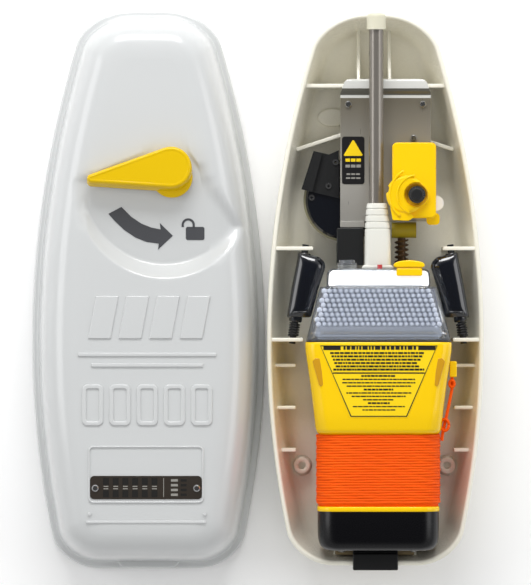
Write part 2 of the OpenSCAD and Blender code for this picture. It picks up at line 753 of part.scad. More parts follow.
// Antenna: moulded boot, flexible whip and its end cap
module antenna_boot() {
    color("#d7d7d2") loft([
        across(round_rect(boot_w, 17, 4), beacon_x - 0.5, y_lens_top, antenna_z),
        across(round_rect(boot_w, 17, 4), beacon_x - 0.5, y_lens_top + boot_len * 0.55, antenna_z),
        across(round_rect(boot_w - 2.4, 15, 4), beacon_x - 1, y_boot_top - 6, antenna_z),
        across(round_rect(boot_w - 3.4, 14, 4), beacon_x - 1, y_boot_top - 1, antenna_z),
        across(round_rect(boot_w - 5.4, 12, 4), beacon_x - 1, y_boot_top, antenna_z)]);
}
module antenna_whip() {
    color("#969191") translate([beacon_x - 1.5, y_boot_top, antenna_z]) along_y(whip_r, whip_len);
}
module antenna_tip() {
    r = tip_r;
    color("#c8c8b4") translate([beacon_x - 1.5, y_whip_top, antenna_z]) rotate([-90, 0, 0])
        rotate_extrude() polygon(concat([[0, 0], [r, 0], [r, tip_len - 3]],
            [for (i = [1 : 5]) [r - 3 + 3 * cos(18 * i), tip_len - 3 + 3 * sin(18 * i)]], [[0, tip_len]]));
}

// What the lens and body hold inside
module strobe_lamp() {
    color("white") translate([beacon_x, y_shoulder - 4, z_mid]) rotate([-90, 0, 0])
        block(lens_top_w - 14, body_d * 0.62, y_lens_top - y_shoulder - 6.5, 4);
}
module circuit_board() {
    color("#1f6b3a") translate([beacon_x - board_w / 2, y_wind + 6, z_mid]) cube([board_w, 52, 1.6]);
}
module battery_cells() {
    r = min((core_d - 2 * body_t - 6) / 4, (core_w - 2 * body_t - 8) / 6);
    color("#3d5a80") for (i = [-1 : 1], s = [-1, 1])
        translate([beacon_x + i * (2 * r + 0.6), y_cap_top + 4, z_mid + s * (r + 0.4)]) along_y(r, wind_len - 12);
}
module sea_contacts() {
    color("silver") for (s = [-1, 1])
        translate([beacon_x + s * 14, y_body_top - 25, z_back - 1.4]) {
            cylinder(r = 3.4, h = 1.4);
        }
}

// Lanyard: the wound cord's outer shape, the lug at its end and the loose stretch between them
module lanyard_winding() {
    w = core_w + 2 * lanyard_d;
    d = core_d + 2 * lanyard_d;
    color("#f05a0a") section_loft([
        [y_cap_top + 1.5, core_w + 1, core_d + 1, 14],
        [y_cap_top + 2.5, w, d, 16],
        [y_wind - 1.2, w, d, 16],
        [y_wind - 0.2, core_w + 1, core_d + 1, 14],
        [y_wind - 0.2, core_w + 0.1, core_d + 0.1, 14],
        [y_cap_top + 1.5, core_w + 0.1, core_d + 0.1, 14]], true);
}
module lanyard_lug() {
    color("#f2d400") translate([lug_x, y_lug - 6.5, 58]) cube([5.4, 12, 8]);
}
module lanyard_tail() {
    color("#f05a0a") tube(tail_route, lanyard_d / 2, 8);
}

// Controls and lights on the lens's top face
module switch_slider() {
    x = beacon_x + 23;
    color("#fadc14") {
        translate([x, y_lens_top + clear, z_mid + 4]) rotate([-90, 0, 0]) translate([0, -8, 0]) block(19.6, 16, 3.4, 4);
        translate([x, y_lens_top + clear + 3.4, z_mid + 4]) rotate([-90, 0, 0]) translate([0, -8, 0])
            block(23.4, 16, 2.4, 5);
    }
}
module test_button() {
    color("#fadc14") translate([button_x, y_lens_top - 4, button_z]) along_y(button_r, 8.5);
}
module button_spring() {
    color("silver") translate([button_x, y_lens_top - 9.9, button_z]) rotate([-90, 0, 0])
        tube(coil(2.6, 1.3, 4), 0.5, 8);
}
module case_screws() {
    color("silver") for (s = [-1, 1])
        translate([beacon_x + s * waist_w * 0.3, y_cap, z_mid]) rotate([90, 0, 0]) pan_head(3.2, 2);
}
module status_lamp() {
    color("#d8404a") translate([beacon_x + 1, y_lens_top, antenna_z + 11]) along_y(1.9, 3.2);
}
module light_stud() {
    color("white", 0.6) translate([beacon_x - 23.5, y_lens_top, antenna_z - 2]) {
        along_y(7.4, 4.5);
        translate([0, 4.5, 0]) along_y(6, 2.2);
    }
}

base_shell();
backing_plate();
plate_screws();
plate_label();
release_disc();
disc_ring();
disc_bracket();
bracket_rivets();
release_box();
release_cam();
release_bolt();
bolt_ring();
float_washer();
ejector_drum();
ejector_rod();
ejector_spring();
rest_block();
hinge_tab();
arm_left();
arm_right();
arm_pins();
arm_spring_left();
arm_spring_right();
cover_shell();
cover_seal();
expiry_plate();
expiry_rivets();
open_arrow();
lever();
lever_shaft();
lever_washer();
hook_plate();
hook_screw();
body_shell();
lens();
reflector();
lens_seal();
base_cap();
cap_seal();
front_label();
antenna_boot();
antenna_whip();
antenna_tip();
strobe_lamp();
circuit_board();
battery_cells();
sea_contacts();
lanyard_winding();
lanyard_lug();
lanyard_tail();
switch_slider();
test_button();
button_spring();
case_screws();
status_lamp();
light_stud();
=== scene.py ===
import bpy, bmesh, json, math
import numpy as np
from mathutils import Vector, Matrix


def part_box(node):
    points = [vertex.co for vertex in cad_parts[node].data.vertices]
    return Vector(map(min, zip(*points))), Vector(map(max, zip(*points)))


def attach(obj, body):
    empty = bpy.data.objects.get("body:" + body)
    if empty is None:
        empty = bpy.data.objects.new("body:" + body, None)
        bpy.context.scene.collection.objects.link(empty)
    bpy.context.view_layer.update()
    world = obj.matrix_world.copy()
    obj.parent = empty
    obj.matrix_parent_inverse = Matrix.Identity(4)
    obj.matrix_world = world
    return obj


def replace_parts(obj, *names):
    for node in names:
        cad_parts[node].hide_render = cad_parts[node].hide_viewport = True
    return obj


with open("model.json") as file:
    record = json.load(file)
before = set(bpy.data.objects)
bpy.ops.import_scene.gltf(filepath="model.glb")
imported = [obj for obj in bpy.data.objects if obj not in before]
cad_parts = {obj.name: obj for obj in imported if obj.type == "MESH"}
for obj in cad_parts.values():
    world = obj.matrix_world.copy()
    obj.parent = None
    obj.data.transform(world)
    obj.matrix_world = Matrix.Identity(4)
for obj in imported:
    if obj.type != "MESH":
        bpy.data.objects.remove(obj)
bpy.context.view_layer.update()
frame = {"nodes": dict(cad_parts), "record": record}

mm = 0.001

trayLow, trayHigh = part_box("base_shell")
coverLow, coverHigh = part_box("cover_shell")
trayLength = (trayHigh[1] - trayLow[1]) / mm
trayWidth = (trayHigh[0] - trayLow[0]) / mm
coverLength = (coverHigh[1] - coverLow[1]) / mm
coverWidth = (coverHigh[0] - coverLow[0]) / mm
coverMiddle = (coverHigh[0] + coverLow[0]) / 2 / mm

cameraSet = {"height": 5.0, "lookX": -0.083, "lookY": -0.0023, "frameWidth": 0.401}
cameraData = bpy.data.cameras.new("camera")
cameraData.sensor_width = 36
cameraData.sensor_fit = "HORIZONTAL"
cameraData.lens = 36 * (cameraSet["height"] - trayHigh[2]) / cameraSet["frameWidth"]
cameraData.clip_end = 50
camera = bpy.data.objects.new("camera", cameraData)
camera.location = (cameraSet["lookX"], cameraSet["lookY"], cameraSet["height"])
bpy.context.scene.collection.objects.link(camera)
bpy.context.scene.camera = camera
print("camera ready")


def newPiece(name, points, faces, finish, body, smooth=True):
    mesh = bpy.data.meshes.new(name)
    mesh.from_pydata([tuple(p) for p in points], [], [tuple(f) for f in faces])
    mesh.validate()
    mesh.update()
    piece = bpy.data.objects.new(name, mesh)
    bpy.context.scene.collection.objects.link(piece)
    mesh.materials.append(finishes[finish])
    for polygon in mesh.polygons:
        polygon.use_smooth = smooth
    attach(piece, body)
    return piece


def loftRings(rings, looped=False, capped=True):
    count = len(rings[0])
    points = [p for ring in rings for p in ring]
    faces = []
    last = len(rings) - 1
    for i in range(last + (1 if looped else 0)):
        k = (i + 1) % len(rings)
        for j in range(count):
            n = (j + 1) % count
            faces.append((i * count + j, i * count + n, k * count + n, k * count + j))
    if capped and not looped:
        faces.append(tuple(range(count - 1, -1, -1)))
        faces.append(tuple(last * count + j for j in range(count)))
    return points, faces


def tubeRings(path, radius, sides=10, swell=None):
    path = [Vector(p) for p in path]
    rings = []
    side = None
    for i, point in enumerate(path):
        along = (path[min(i + 1, len(path) - 1)] - path[max(i - 1, 0)]).normalized()
        if side is None:
            side = along.cross(Vector((0, 0, 1)) if abs(along.z) < 0.9 else Vector((1, 0, 0)))
        side = (side - along * side.dot(along)).normalized()
        up = side.cross(along)
        r = radius * (swell(i / (len(path) - 1)) if swell else 1)
        rings.append([point + r * (math.cos(a) * side + math.sin(a) * up)
                      for a in [2 * math.pi * j / sides for j in range(sides)]])
    return rings


def loft(name, rings, finish, body, **shape):
    return fixNormals(newPiece(name, *loftRings(rings, **shape), finish, body))


def angles(steps):
    return [2 * math.pi * i / steps for i in range(steps)]


def ringAt(x, y, radius, z, sides):
    return [((x + radius * math.cos(a)) * mm, (y + radius * math.sin(a)) * mm, z * mm)
            for a in angles(sides)]


def rectangle(x0, y0, x1, y1):
    return [(x0, y0), (x1, y0), (x1, y1), (x0, y1)]


def moved(outline, x, y):
    return [(x + px, y + py) for px, py in outline]


def roundRect(width, depth, radius, steps=6):
    points = []
    for sx, sy, start in ((1, 1, 0), (-1, 1, 90), (-1, -1, 180), (1, -1, 270)):
        for i in range(steps + 1):
            a = math.radians(start + 90 * i / steps)
            points.append((sx * (width / 2 - radius) + radius * math.cos(a),
                           sy * (depth / 2 - radius) + radius * math.sin(a)))
    return points


def acrossRings(rows, x, z, steps=6):
    return [[((x + p[0]) * mm, y * mm, (z - p[1]) * mm) for p in roundRect(w, d, r, steps)][::-1]
            for y, w, d, r in rows]


def smoothPath(points, steps=6):
    pts = [Vector(p) for p in points]
    out = []
    for i in range(len(pts) - 1):
        a, b, c, d = pts[max(i - 1, 0)], pts[i], pts[i + 1], pts[min(i + 2, len(pts) - 1)]
        for s in range(steps):
            t = s / steps
            out.append(0.5 * ((2 * b) + (c - a) * t + (2 * a - 5 * b + 4 * c - d) * t * t
                              + (3 * b - a - 3 * c + d) * t ** 3))
    out.append(pts[-1])
    return out


def plate(name, outline, low, high, bevel, finish, body, place=None, segments=3, smooth=True):
    count = len(outline)
    points = [(x * mm, y * mm, low * mm) for x, y in outline] + [(x * mm, y * mm, high * mm) for x,
                                                            y in outline]
    faces = [tuple(range(count - 1, -1, -1)), tuple(range(count, 2 * count))]
    faces += [(j, (j + 1) % count, count + (j + 1) % count, count + j) for j in range(count)]
    if place:
        points = [place @ Vector(p) for p in points]
    piece = newPiece(name, points, faces, finish, body, smooth)
    edgeRound(piece, bevel * mm, segments)
    return piece


def fixNormals(piece, closed=False, footCount=0):
    made = bmesh.new()
    made.from_mesh(piece.data)
    if footCount:
        made.verts.ensure_lookup_table()
        made.faces.new([made.verts[j] for j in range(footCount - 1, -1, -1)])
    if closed:
        bmesh.ops.remove_doubles(made, verts=made.verts, dist=2e-6)
        bmesh.ops.holes_fill(made, edges=[e for e in made.edges if e.is_boundary], sides=0)
    bmesh.ops.recalc_face_normals(made, faces=made.faces)
    made.to_mesh(piece.data)
    made.free()
    for polygon in piece.data.polygons:
        polygon.use_smooth = True
    return piece


# A flat-sided slab between two copies of one profile
def slab(name, points, edge, finish, body):
    n = len(points) // 2
    faces = [tuple(range(n)), tuple(range(2 * n - 1, n - 1, -1))]
    faces += [(j, n + j, n + (j + 1) % n, (j + 1) % n) for j in range(n)]
    return edgeRound(fixNormals(newPiece(name, points, faces, finish, body)), edge * mm, 3)


def edgeRound(piece, width, segments=3, angle=35):
    if width > 0:
        rounding = piece.modifiers.new("edges", "BEVEL")
        rounding.width = width
        rounding.segments = segments
        rounding.limit_method = "ANGLE"
        rounding.angle_limit = math.radians(angle)
        rounding.harden_normals = False
    normals = piece.modifiers.new("normals", "WEIGHTED_NORMAL")
    normals.keep_sharp = True
    return piece


# A moulded copy of a machined node, with softened edges
def soften(node, width, finish, segments=3, angle=35):
    source = frame["nodes"][node]
    made = bmesh.new()
    made.from_mesh(source.data)
    bmesh.ops.remove_doubles(made, verts=made.verts, dist=1e-6)
    bmesh.ops.dissolve_limit(made, angle_limit=math.radians(1.5), verts=made.verts, edges=made.edges)
    mesh = bpy.data.meshes.new(node + "_moulded")
    made.to_mesh(mesh)
    made.free()
    for polygon in mesh.polygons:
        polygon.use_smooth = True
    mesh.materials.clear()
    mesh.materials.append(finishes[finish])
    piece = bpy.data.objects.new(node + "_moulded", mesh)
    bpy.context.scene.collection.objects.link(piece)
    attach(piece, bodyOf[node])
    edgeRound(piece, width * mm, segments, angle)
    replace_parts(piece, node)
    return piece


bodyOf = {n: body for body, nodes in frame["record"]["behaviour"]["bodies"].items() for n in nodes}


def linear(r, g, b):
    return tuple(((c / 255) / 12.92 if c <= 10 else ((c / 255 + 0.055) / 1.055) ** 2.4)
                 for c in (r, g, b)) + (1,)


# Colour drifts slowly, roughness has a fine grain, and the surface a faint moulded texture
def moulded(name, colour, shade, rough=0.3, drift=0.25, grain=900, bump=0.02, bumpScale=None, metal=0.0,
            coat=0.0, coatRough=0.1, sheen=0.0, clear=0.0, stretch=(1, 1, 1), specular=0.5, paintedShadeFade=None):
    finish = bpy.data.materials.new(name)
    finish.use_nodes = True
    nodes, links = finish.node_tree.nodes, finish.node_tree.links
    shader = nodes["Principled BSDF"]
    where = nodes.new("ShaderNodeTexCoord")
    mapping = nodes.new("ShaderNodeMapping")
    mapping.inputs["Scale"].default_value = stretch
    links.new(where.outputs["Object"], mapping.inputs["Vector"])

    def noise(scale, detail, low, high):
        texture = nodes.new("ShaderNodeTexNoise")
        texture.inputs["Scale"].default_value = scale
        texture.inputs["Detail"].default_value = detail
        links.new(mapping.outputs["Vector"], texture.inputs["Vector"])
        spread = nodes.new("ShaderNodeMapRange")
        spread.inputs["To Min"].default_value = low
        spread.inputs["To Max"].default_value = high
        links.new(texture.outputs["Fac"], spread.inputs["Value"])
        return spread.outputs["Result"]

    tint = nodes.new("ShaderNodeMix")
    tint.data_type = "RGBA"
    tint.inputs["A"].default_value = linear(*colour)
    tint.inputs["B"].default_value = linear(*shade)
    links.new(noise(14, 3, 0, drift * 2), tint.inputs["Factor"])
    colourOut = tint.outputs["Result"]
    if paintedShadeFade:
        # painted shade: a darker tone that comes in between two places along one axis, standing in for how
        # light and reflection fall along the surface
        axis, start, end, paintedShadeTone = paintedShadeFade
        split = nodes.new("ShaderNodeSeparateXYZ")
        links.new(where.outputs["Object"], split.inputs["Vector"])
        ramp = nodes.new("ShaderNodeMapRange")
        ramp.inputs["From Min"].default_value = start * mm
        ramp.inputs["From Max"].default_value = end * mm
        links.new(split.outputs[axis], ramp.inputs["Value"])
        paintedShadeMix = nodes.new("ShaderNodeMix")
        paintedShadeMix.data_type = "RGBA"
        paintedShadeMix.inputs["B"].default_value = linear(*paintedShadeTone)
        links.new(colourOut, paintedShadeMix.inputs["A"])
        links.new(ramp.outputs["Result"], paintedShadeMix.inputs["Factor"])
        colourOut = paintedShadeMix.outputs["Result"]
    links.new(colourOut, shader.inputs["Base Color"])
    links.new(noise(grain, 2, rough * 0.8, min(1, rough * 1.25)), shader.inputs["Roughness"])
    relief = nodes.new("ShaderNodeBump")
    relief.inputs["Strength"].default_value = bump
    relief.inputs["Distance"].default_value = 0.0004
    links.new(noise(bumpScale or grain, 2, 0, 1), relief.inputs["Height"])
    links.new(relief.outputs["Normal"], shader.inputs["Normal"])
    shader.inputs["Metallic"].default_value = metal
    shader.inputs["Coat Weight"].default_value = coat
    shader.inputs["Coat Roughness"].default_value = coatRough
    shader.inputs["Sheen Weight"].default_value = sheen
    shader.inputs["Transmission Weight"].default_value = clear
    shader.inputs["Specular IOR Level"].default_value = specular
    return finish


# Each finish: colour, second shade, roughness, size of grain, depth of relief, and what else differs
finishTable = {
    "coverPlastic": ((206, 208, 208), (198, 200, 201), 0.22, 3500, 0.008, {"coat": 0.3}),
    "trayPlastic": ((242, 239, 226), (234, 229, 211), 0.26, 1800, 0.015, {"coat": 0.15}),
    "yellowPlastic": ((250, 206, 0), (244, 196, 0), 0.22, 3500, 0.008, {"coat": 0.1, "specular": 0.35}),
    # darker yellow used as painted shade in slots and hollows
    "slotYellow": ((204, 150, 8), (190, 134, 4), 0.35, 3000, 0.01, {}),
    "leverPlastic": ((226, 188, 0), (214, 174, 0), 0.24, 3500, 0.008, {"specular": 0.32}),
    "glossBlack": ((17, 20, 28), (10, 11, 16), 0.14, 3500, 0.008, {"coat": 1.0, "coatRough": 0.05}),
    "mattBlack": ((18, 19, 20), (27, 27, 28), 0.5, 900, 0.08, {}),
    "capBlack": ((8, 8, 11), (13, 13, 16), 0.26, 2400, 0.02, {"specular": 0.35}),
    "clearPlastic": ((238, 242, 247), (226, 232, 240), 0.06, 400, 0.02, {"clear": 0.92}),
    "filmGrey": ((150, 155, 170), (134, 140, 156), 0.25, 900, 0.02, {"metal": 0.4}),
    "dimpleWhite": ((196, 203, 218), (182, 190, 208), 0.14, 1500, 0.01, {"coat": 0.5}),
    "reflectorFilm": ((226, 230, 240), (206, 212, 226), 0.2, 500, 0.05, {"metal": 0.55}),
    "lampWhite": ((255, 255, 255), (250, 249, 255), 0.12, 900, 0.01, {"coat": 0.4}),
    "whitePlastic": ((250, 250, 252), (240, 241, 246), 0.3, 3500, 0.008, {}),
    # brushed steel, with a painted shade that darkens it from y 76 mm to 142 mm
    "brushedSheet": ((188, 185, 178), (176, 172, 164), 0.3, 900, 0.05,
        {"metal": 0.4, "stretch": (1, 0.04, 1), "paintedShadeFade": ("Y", 76, 142, (126, 120, 106))}),
    # tones for bands of the steel plate: a painted shade and a painted highlight
    "sheetPaintedShade": ((104, 102, 94), (92, 90, 82), 0.3, 1200, 0.02, {"metal": 0.3}),
    "sheetPaintedHighlight": ((226, 226, 222), (214, 214, 208), 0.2, 1200, 0.02, {"metal": 0.15}),
    "turnedSteel": ((200, 200, 200), (165, 165, 168), 0.25, 600, 0.05, {"metal": 1}),
    "darkPlate": ((74, 67, 60), (56, 50, 45), 0.34, 260, 0.08, {"metal": 0.5, "stretch": (0.06, 1, 1)}),
    "inkBlack": ((22, 21, 20), (30, 29, 26), 0.5, 1200, 0.03, {}),
    "inkGrey": ((74, 75, 79), (62, 63, 66), 0.5, 1200, 0.03, {}),
    "inkPale": ((150, 148, 142), (130, 128, 122), 0.5, 1200, 0.03, {}),
    "labelBlack": ((32, 31, 33), (24, 23, 25), 0.3, 3500, 0.008, {"coat": 0.2}),
    "labelYellow": ((250, 216, 12), (240, 200, 4), 0.34, 3500, 0.008, {}),
    "olivePlastic": ((158, 146, 34), (128, 116, 26), 0.4, 700, 0.05, {}),
    "brownMetal": ((86, 66, 44), (58, 44, 30), 0.4, 500, 0.06, {"metal": 0.5}),
    "sealRubber": ((58, 58, 58), (44, 44, 44), 0.65, 1200, 0.1, {}),
    "bootRubber": ((226, 226, 219), (212, 211, 200), 0.48, 900, 0.06, {"sheen": 0.1}),
    "whipSleeve": ((140, 135, 128), (126, 120, 114), 0.24, 900, 0.03,
        {"metal": 0.5, "stretch": (1, 0.1, 1)}),
    "beigePlastic": ((216, 213, 192), (202, 198, 174), 0.42, 800, 0.05, {}),
    "boardGreen": ((34, 104, 58), (26, 84, 46), 0.4, 300, 0.1, {}),
    "cellWrap": ((58, 92, 140), (48, 78, 124), 0.25, 400, 0.05, {"coat": 0.3}),
    "redLens": ((226, 88, 92), (205, 60, 68), 0.15, 400, 0.02, {"clear": 0.4}),
    "ringPlastic": ((150, 145, 116), (132, 126, 98), 0.4, 1500, 0.03, {}),
    "recessPaintedShade": ((134, 118, 86), (116, 100, 70), 0.5, 400, 0.08, {}),
}
finishes = {name: moulded(name, colour, shade, rough=rough, grain=grain, bump=bump, **more)
            for name, (colour, shade, rough, grain, bump, more) in finishTable.items()}
# the diffuser's white gets a faint painted glow: light painted onto a part that is no lamp
paintedGlow = finishes["lampWhite"].node_tree.nodes["Principled BSDF"].inputs
paintedGlow["Emission Color"].default_value = (1, 1, 1, 1)
paintedGlow["Emission Strength"].default_value = 0.3


# Braided cord: crossing strands along and around each turn
def braid(name, colour, shade):
    finish = moulded(name, colour, shade, rough=0.6, drift=0.5, grain=1500, bump=0.08, specular=0.2)
    nodes, links = finish.node_tree.nodes, finish.node_tree.links
    shader = nodes["Principled BSDF"]
    where = nodes.new("ShaderNodeTexCoord")
    heights = []
    for direction in ((1.0, 1.0, 0.6), (1.0, -1.0, -0.6)):
        turn = nodes.new("ShaderNodeMapping")
        turn.inputs["Rotation"].default_value = (0.3, 0.2, 0.78 * direction[1])
        links.new(where.outputs["Object"], turn.inputs["Vector"])
        wave = nodes.new("ShaderNodeTexWave")
        wave.inputs["Scale"].default_value = 260
        wave.inputs["Distortion"].default_value = 1.5
        links.new(turn.outputs["Vector"], wave.inputs["Vector"])
        heights.append(wave.outputs["Fac"])
    weave = nodes.new("ShaderNodeMath")
    weave.operation = "MAXIMUM"
    links.new(heights[0], weave.inputs[0])
    links.new(heights[1], weave.inputs[1])
    strands = nodes.new("ShaderNodeBump")
    strands.inputs["Strength"].default_value = 0.5
    strands.inputs["Distance"].default_value = 0.0003
    links.new(weave.outputs[0], strands.inputs["Height"])
    links.new(shader.inputs["Normal"].links[0].from_socket, strands.inputs["Normal"])
    links.new(strands.outputs["Normal"], shader.inputs["Normal"])
    return finish


finishes["cordBraid"] = braid("cordBraid", (255, 104, 0), (240, 80, 0))

nodeFinish = {
    "backing_plate": "brushedSheet", "plate_screws": "turnedSteel", "plate_label": "labelBlack",
    "release_disc": "glossBlack", "disc_ring": "ringPlastic", "bracket_rivets": "turnedSteel",
    "release_bolt": "mattBlack", "bolt_ring": "turnedSteel", "float_washer": "whitePlastic",
    "ejector_drum": "olivePlastic", "ejector_rod": "brownMetal", "ejector_spring": "brownMetal",
    "arm_pins": "mattBlack", "arm_spring_left": "mattBlack", "arm_spring_right": "mattBlack",
    "cover_seal": "sealRubber", "expiry_plate": "darkPlate", "expiry_rivets": "turnedSteel",
    "open_arrow": "inkGrey",
    "lever_shaft": "turnedSteel", "lever_washer": "turnedSteel", "hook_plate": "turnedSteel",
    "hook_screw": "turnedSteel",
    "lens_seal": "sealRubber", "cap_seal": "sealRubber", "front_label": "labelYellow",
    "antenna_whip": "whipSleeve", "antenna_tip": "beigePlastic", "strobe_lamp": "whitePlastic",
    "circuit_board": "boardGreen", "battery_cells": "cellWrap", "sea_contacts": "turnedSteel",
    "test_button": "yellowPlastic", "button_spring": "turnedSteel", "case_screws": "turnedSteel",
    "status_lamp": "redLens", "light_stud": "clearPlastic", "reflector": "reflectorFilm",
}
for node, finish in nodeFinish.items():
    slots = frame["nodes"][node].data.materials
    for i in range(max(1, len(slots))):
        if len(slots):
            slots[i] = finishes[finish]
        else:
            slots.append(finishes[finish])
print("finishes ready")


tailPiece = {"diameter": 2.4, "route": [
    (57.4, -66, 62), (57.8, -69, 62), (57.7, -73, 62.5), (57.1, -77, 63), (56.3, -81, 63.5),
    (55.5, -85, 64),
    (54.7, -89, 64), (53.8, -93, 64.5), (52.9, -97, 64.5), (52, -101, 64.5), (51.2, -105, 64.5),
    (50.5, -108, 64.5), (50.1, -111, 64.5), (49.8, -114, 64.5)]}
tailPath = [p * mm for p in smoothPath(tailPiece["route"], 4)]
tail = newPiece("lanyardTail", *loftRings(tubeRings(tailPath, tailPiece["diameter"] / 2 * mm, 12)),
                "cordBraid", "beacon")
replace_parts(tail, "lanyard_tail")


def knot(name, centre, size, finish, body):
    # a round turn: the cord runs twice round a small ring
    x, y, z = centre
    path = []
    for i in range(40):
        a = 4 * math.pi * i / 39
        path.append(((x + size * math.cos(a) * 0.7) * mm, (y + size * math.sin(a)) * mm,
                     (z + 0.9 * math.cos(a * 0.5) + 0.3) * mm))
    return newPiece(name, *loftRings(tubeRings(path, 1.1 * mm, 10)), finish, body)


lugKnot = knot("lanyardKnotUpper", (57.4, -71, 63.6), 2.6, "cordBraid", "beacon")
lowKnot = knot("lanyardKnotLower", (51.9, -102, 65.6), 4.4, "cordBraid", "beacon")
print("lanyard end ready")


housing = {"footWidth": 0.745, "topWidth": 0.49, "widest": -39.5, "footCorner": (29.5, 26),
           "topCorner": (34, 26)}


def sideAt(y, length, width, topWidth, footWidth):
    wide = housing["widest"]
    if y > wide:
        return width / 2 - (width - topWidth) / 2 * ((y - wide) / (length / 2 - wide)) ** 2
    return width / 2 - (width - footWidth) / 2 * ((wide - y) / (length / 2 + wide)) ** 2


def outlineRing(length, width, topWidth, footWidth, inset, rows, corner=14):
    half = length / 2 - inset
    footH, footV = housing["footCorner"][0] - inset * 0.45, housing["footCorner"][1] - inset * 0.45
    topH, topV = housing["topCorner"][0] - inset * 0.75, housing["topCorner"][1] - inset * 0.45
    right = []
    for i in range(corner + 1):
        a = math.pi / 2 * i / corner
        y = footV * (1 - math.cos(a)) - half
        right.append((sideAt(y, length, width, topWidth, footWidth) - inset - footH * (1 - math.sin(a)), y))
    y0, y1 = footV - half, half - topV
    for t in rows:
        y = y0 + (y1 - y0) * t
        right.append((sideAt(y, length, width, topWidth, footWidth) - inset, y))
    for i in range(corner + 1):
        a = math.pi / 2 * (1 - i / corner)
        y = half - topV * (1 - math.cos(a))
        right.append((sideAt(y, length, width, topWidth, footWidth) - inset - topH * (1 - math.sin(a)), y))
    return right + [(-x, y) for x, y in reversed(right)]


trayTop = trayWidth * housing["topWidth"]
trayFoot = trayWidth * housing["footWidth"]
overhang = (coverWidth - trayWidth) / 2
evenRows = [i / 60 for i in range(1, 60)]


def trayRing(inset, z):
    return [(x * mm, y * mm, z * mm) for x, y in
            outlineRing(trayLength, trayWidth, trayTop, trayFoot, inset, evenRows)]


coverPiece = {"height": 70, "wall": 3, "steps": 84, "raised": 1.15, "scoopTilt": 6.8,
              "scoopCentre": (13.3, 74.2), "scoopReach": 66, "scoopSlope": 1.0, "scoopRound": 1.6}
leverLow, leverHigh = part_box("lever_shaft")
pivotX = (leverLow[0] + leverHigh[0]) / 2 / mm - coverMiddle
pivotY = (leverLow[1] + leverHigh[1]) / 2 / mm
scoopStart = pivotY + 18.3


# rows bunched where the scoop needs them
coverRows = sorted(set([round(i / 36, 4) for i in range(1, 36)]
                       + [round(0.5 + 0.315 * i / 104, 4) for i in range(105)]))


def coverRing(inset, z):
    return [(x, y, z) for x, y in
            outlineRing(coverLength, coverWidth, trayTop + 2 * overhang, trayFoot + 2 * overhang, inset,
                        coverRows)]


def softMin(a, b, k):
    h = max(k - abs(a - b), 0) / k
    return min(a, b) - h * h * k / 4


# How far the face is pressed in: a sloping floor inside sloping walls
def scoopFloor(x, y):
    floor = (scoopStart - y) * math.tan(math.radians(coverPiece["scoopTilt"]))
    cx, cy = coverPiece["scoopCentre"]
    arc = (coverPiece["scoopReach"] - math.hypot(x - cx, y - cy)) * coverPiece["scoopSlope"]
    rightEdge = ((70.5 - x) * 0.806 + (51 - y) * 0.593) * 1.15
    leverEdge = ((x + 52.5) * 0.382 + (82.7 - y) * 0.924) * 0.9
    k = coverPiece["scoopRound"]
    wall = softMin(softMin(arc, rightEdge, k), leverEdge, k)
    return -softMin(0, -softMin(floor, wall, k), k * 0.6)


def pressed(ring, fadeHeight):
    return [(x, y, z - scoopFloor(x, y) * min(1, max(0, (z - 40) / fadeHeight))) for x, y, z in ring]


# One step of a flat face, from its edge in to a line down the middle
def towardsSpine(ring, t, end):
    return [(x * (1 - t), y * (1 - t) + t * max(-end, min(end, y)), z) for x, y, z in ring]


def makeCover():
    wall = coverPiece["wall"]
    outer = [(0, 0), (0, 5.2), (0.25, 6.2), (0.9, 6.9), (1.8, 7.1), (3.8, 7.4), (4.6, 8.0), (5.0, 9.2),
             (5.8, 18), (7, 31), (8.4, 42), (10.2, 51), (12.4, 57.5), (15, 61.6), (18, 64.6), (21, 66.7),
             (24.5, 68.3), (28, 69.2), (33, 69.8), (38, 70)]
    inner = [(38, 67), (30, 66.1), (23.5, 63.4), (18, 58), (13.5, 49), (10, 31), (7.8, 7), (4, 5.4),
             (wall, 0)]
    outerRings = [coverRing(i, z) for i, z in outer]
    edge = outerRings[-1]
    spineEnd = 150
    steps = coverPiece["steps"]
    outerRings += [towardsSpine(edge, s / steps, spineEnd) for s in range(1, steps + 1)]
    innerRings = [coverRing(i, z) for i, z in inner]
    lid = [innerRings[0]] + [towardsSpine(innerRings[0], s / 20, spineEnd) for s in range(1, 21)]
    lid = [[(x, y, z - scoopFloor(x, y)) for x, y, z in ring] for ring in lid]
    rings = lid[:0:-1] + [pressed(ring, 20) for ring in innerRings]
    rings += [pressed(ring, 25) for ring in outerRings]
    points, faces = loftRings(rings, capped=False)
    points = [((x + coverMiddle) * mm, y * mm, z * mm) for x, y, z in points]
    cover = newPiece("coverShell", points, faces, "coverPlastic", "cover")
    fixNormals(cover, closed=True)
    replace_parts(cover, "cover_shell")


makeCover()


# Plain raised shapes on the cover, in the cover's own plan
def onCover(outline):
    return [(x + coverMiddle, y) for x, y in outline]


plateLow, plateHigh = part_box("expiry_plate")
plateY = (plateLow[1] + plateHigh[1]) / 2 / mm
raisedPiece = {"slants": 4, "slantStep": 23, "tileStep": 20.5, "edge": 0.7}


def raised(name, outline, height=None, bevel=None):
    top = coverPiece["height"] + (height or coverPiece["raised"])
    return plate(name, onCover(outline), coverPiece["height"] - 1.2, top, bevel or raisedPiece["edge"],
                 "coverPlastic", "cover")


def ringPlate(name, outer, inner, low, high, bevel, finish, body):
    count = len(outer)
    points = [(x * mm, y * mm, z * mm) for z in (low, high) for x, y in outer] + \
             [(x * mm, y * mm, z * mm) for z in (high, low) for x, y in inner]
    rings = [points[i * count:(i + 1) * count] for i in range(4)]
    piece = newPiece(name, *loftRings(rings, looped=True), finish, body)
    return edgeRound(piece, bevel * mm, 2)


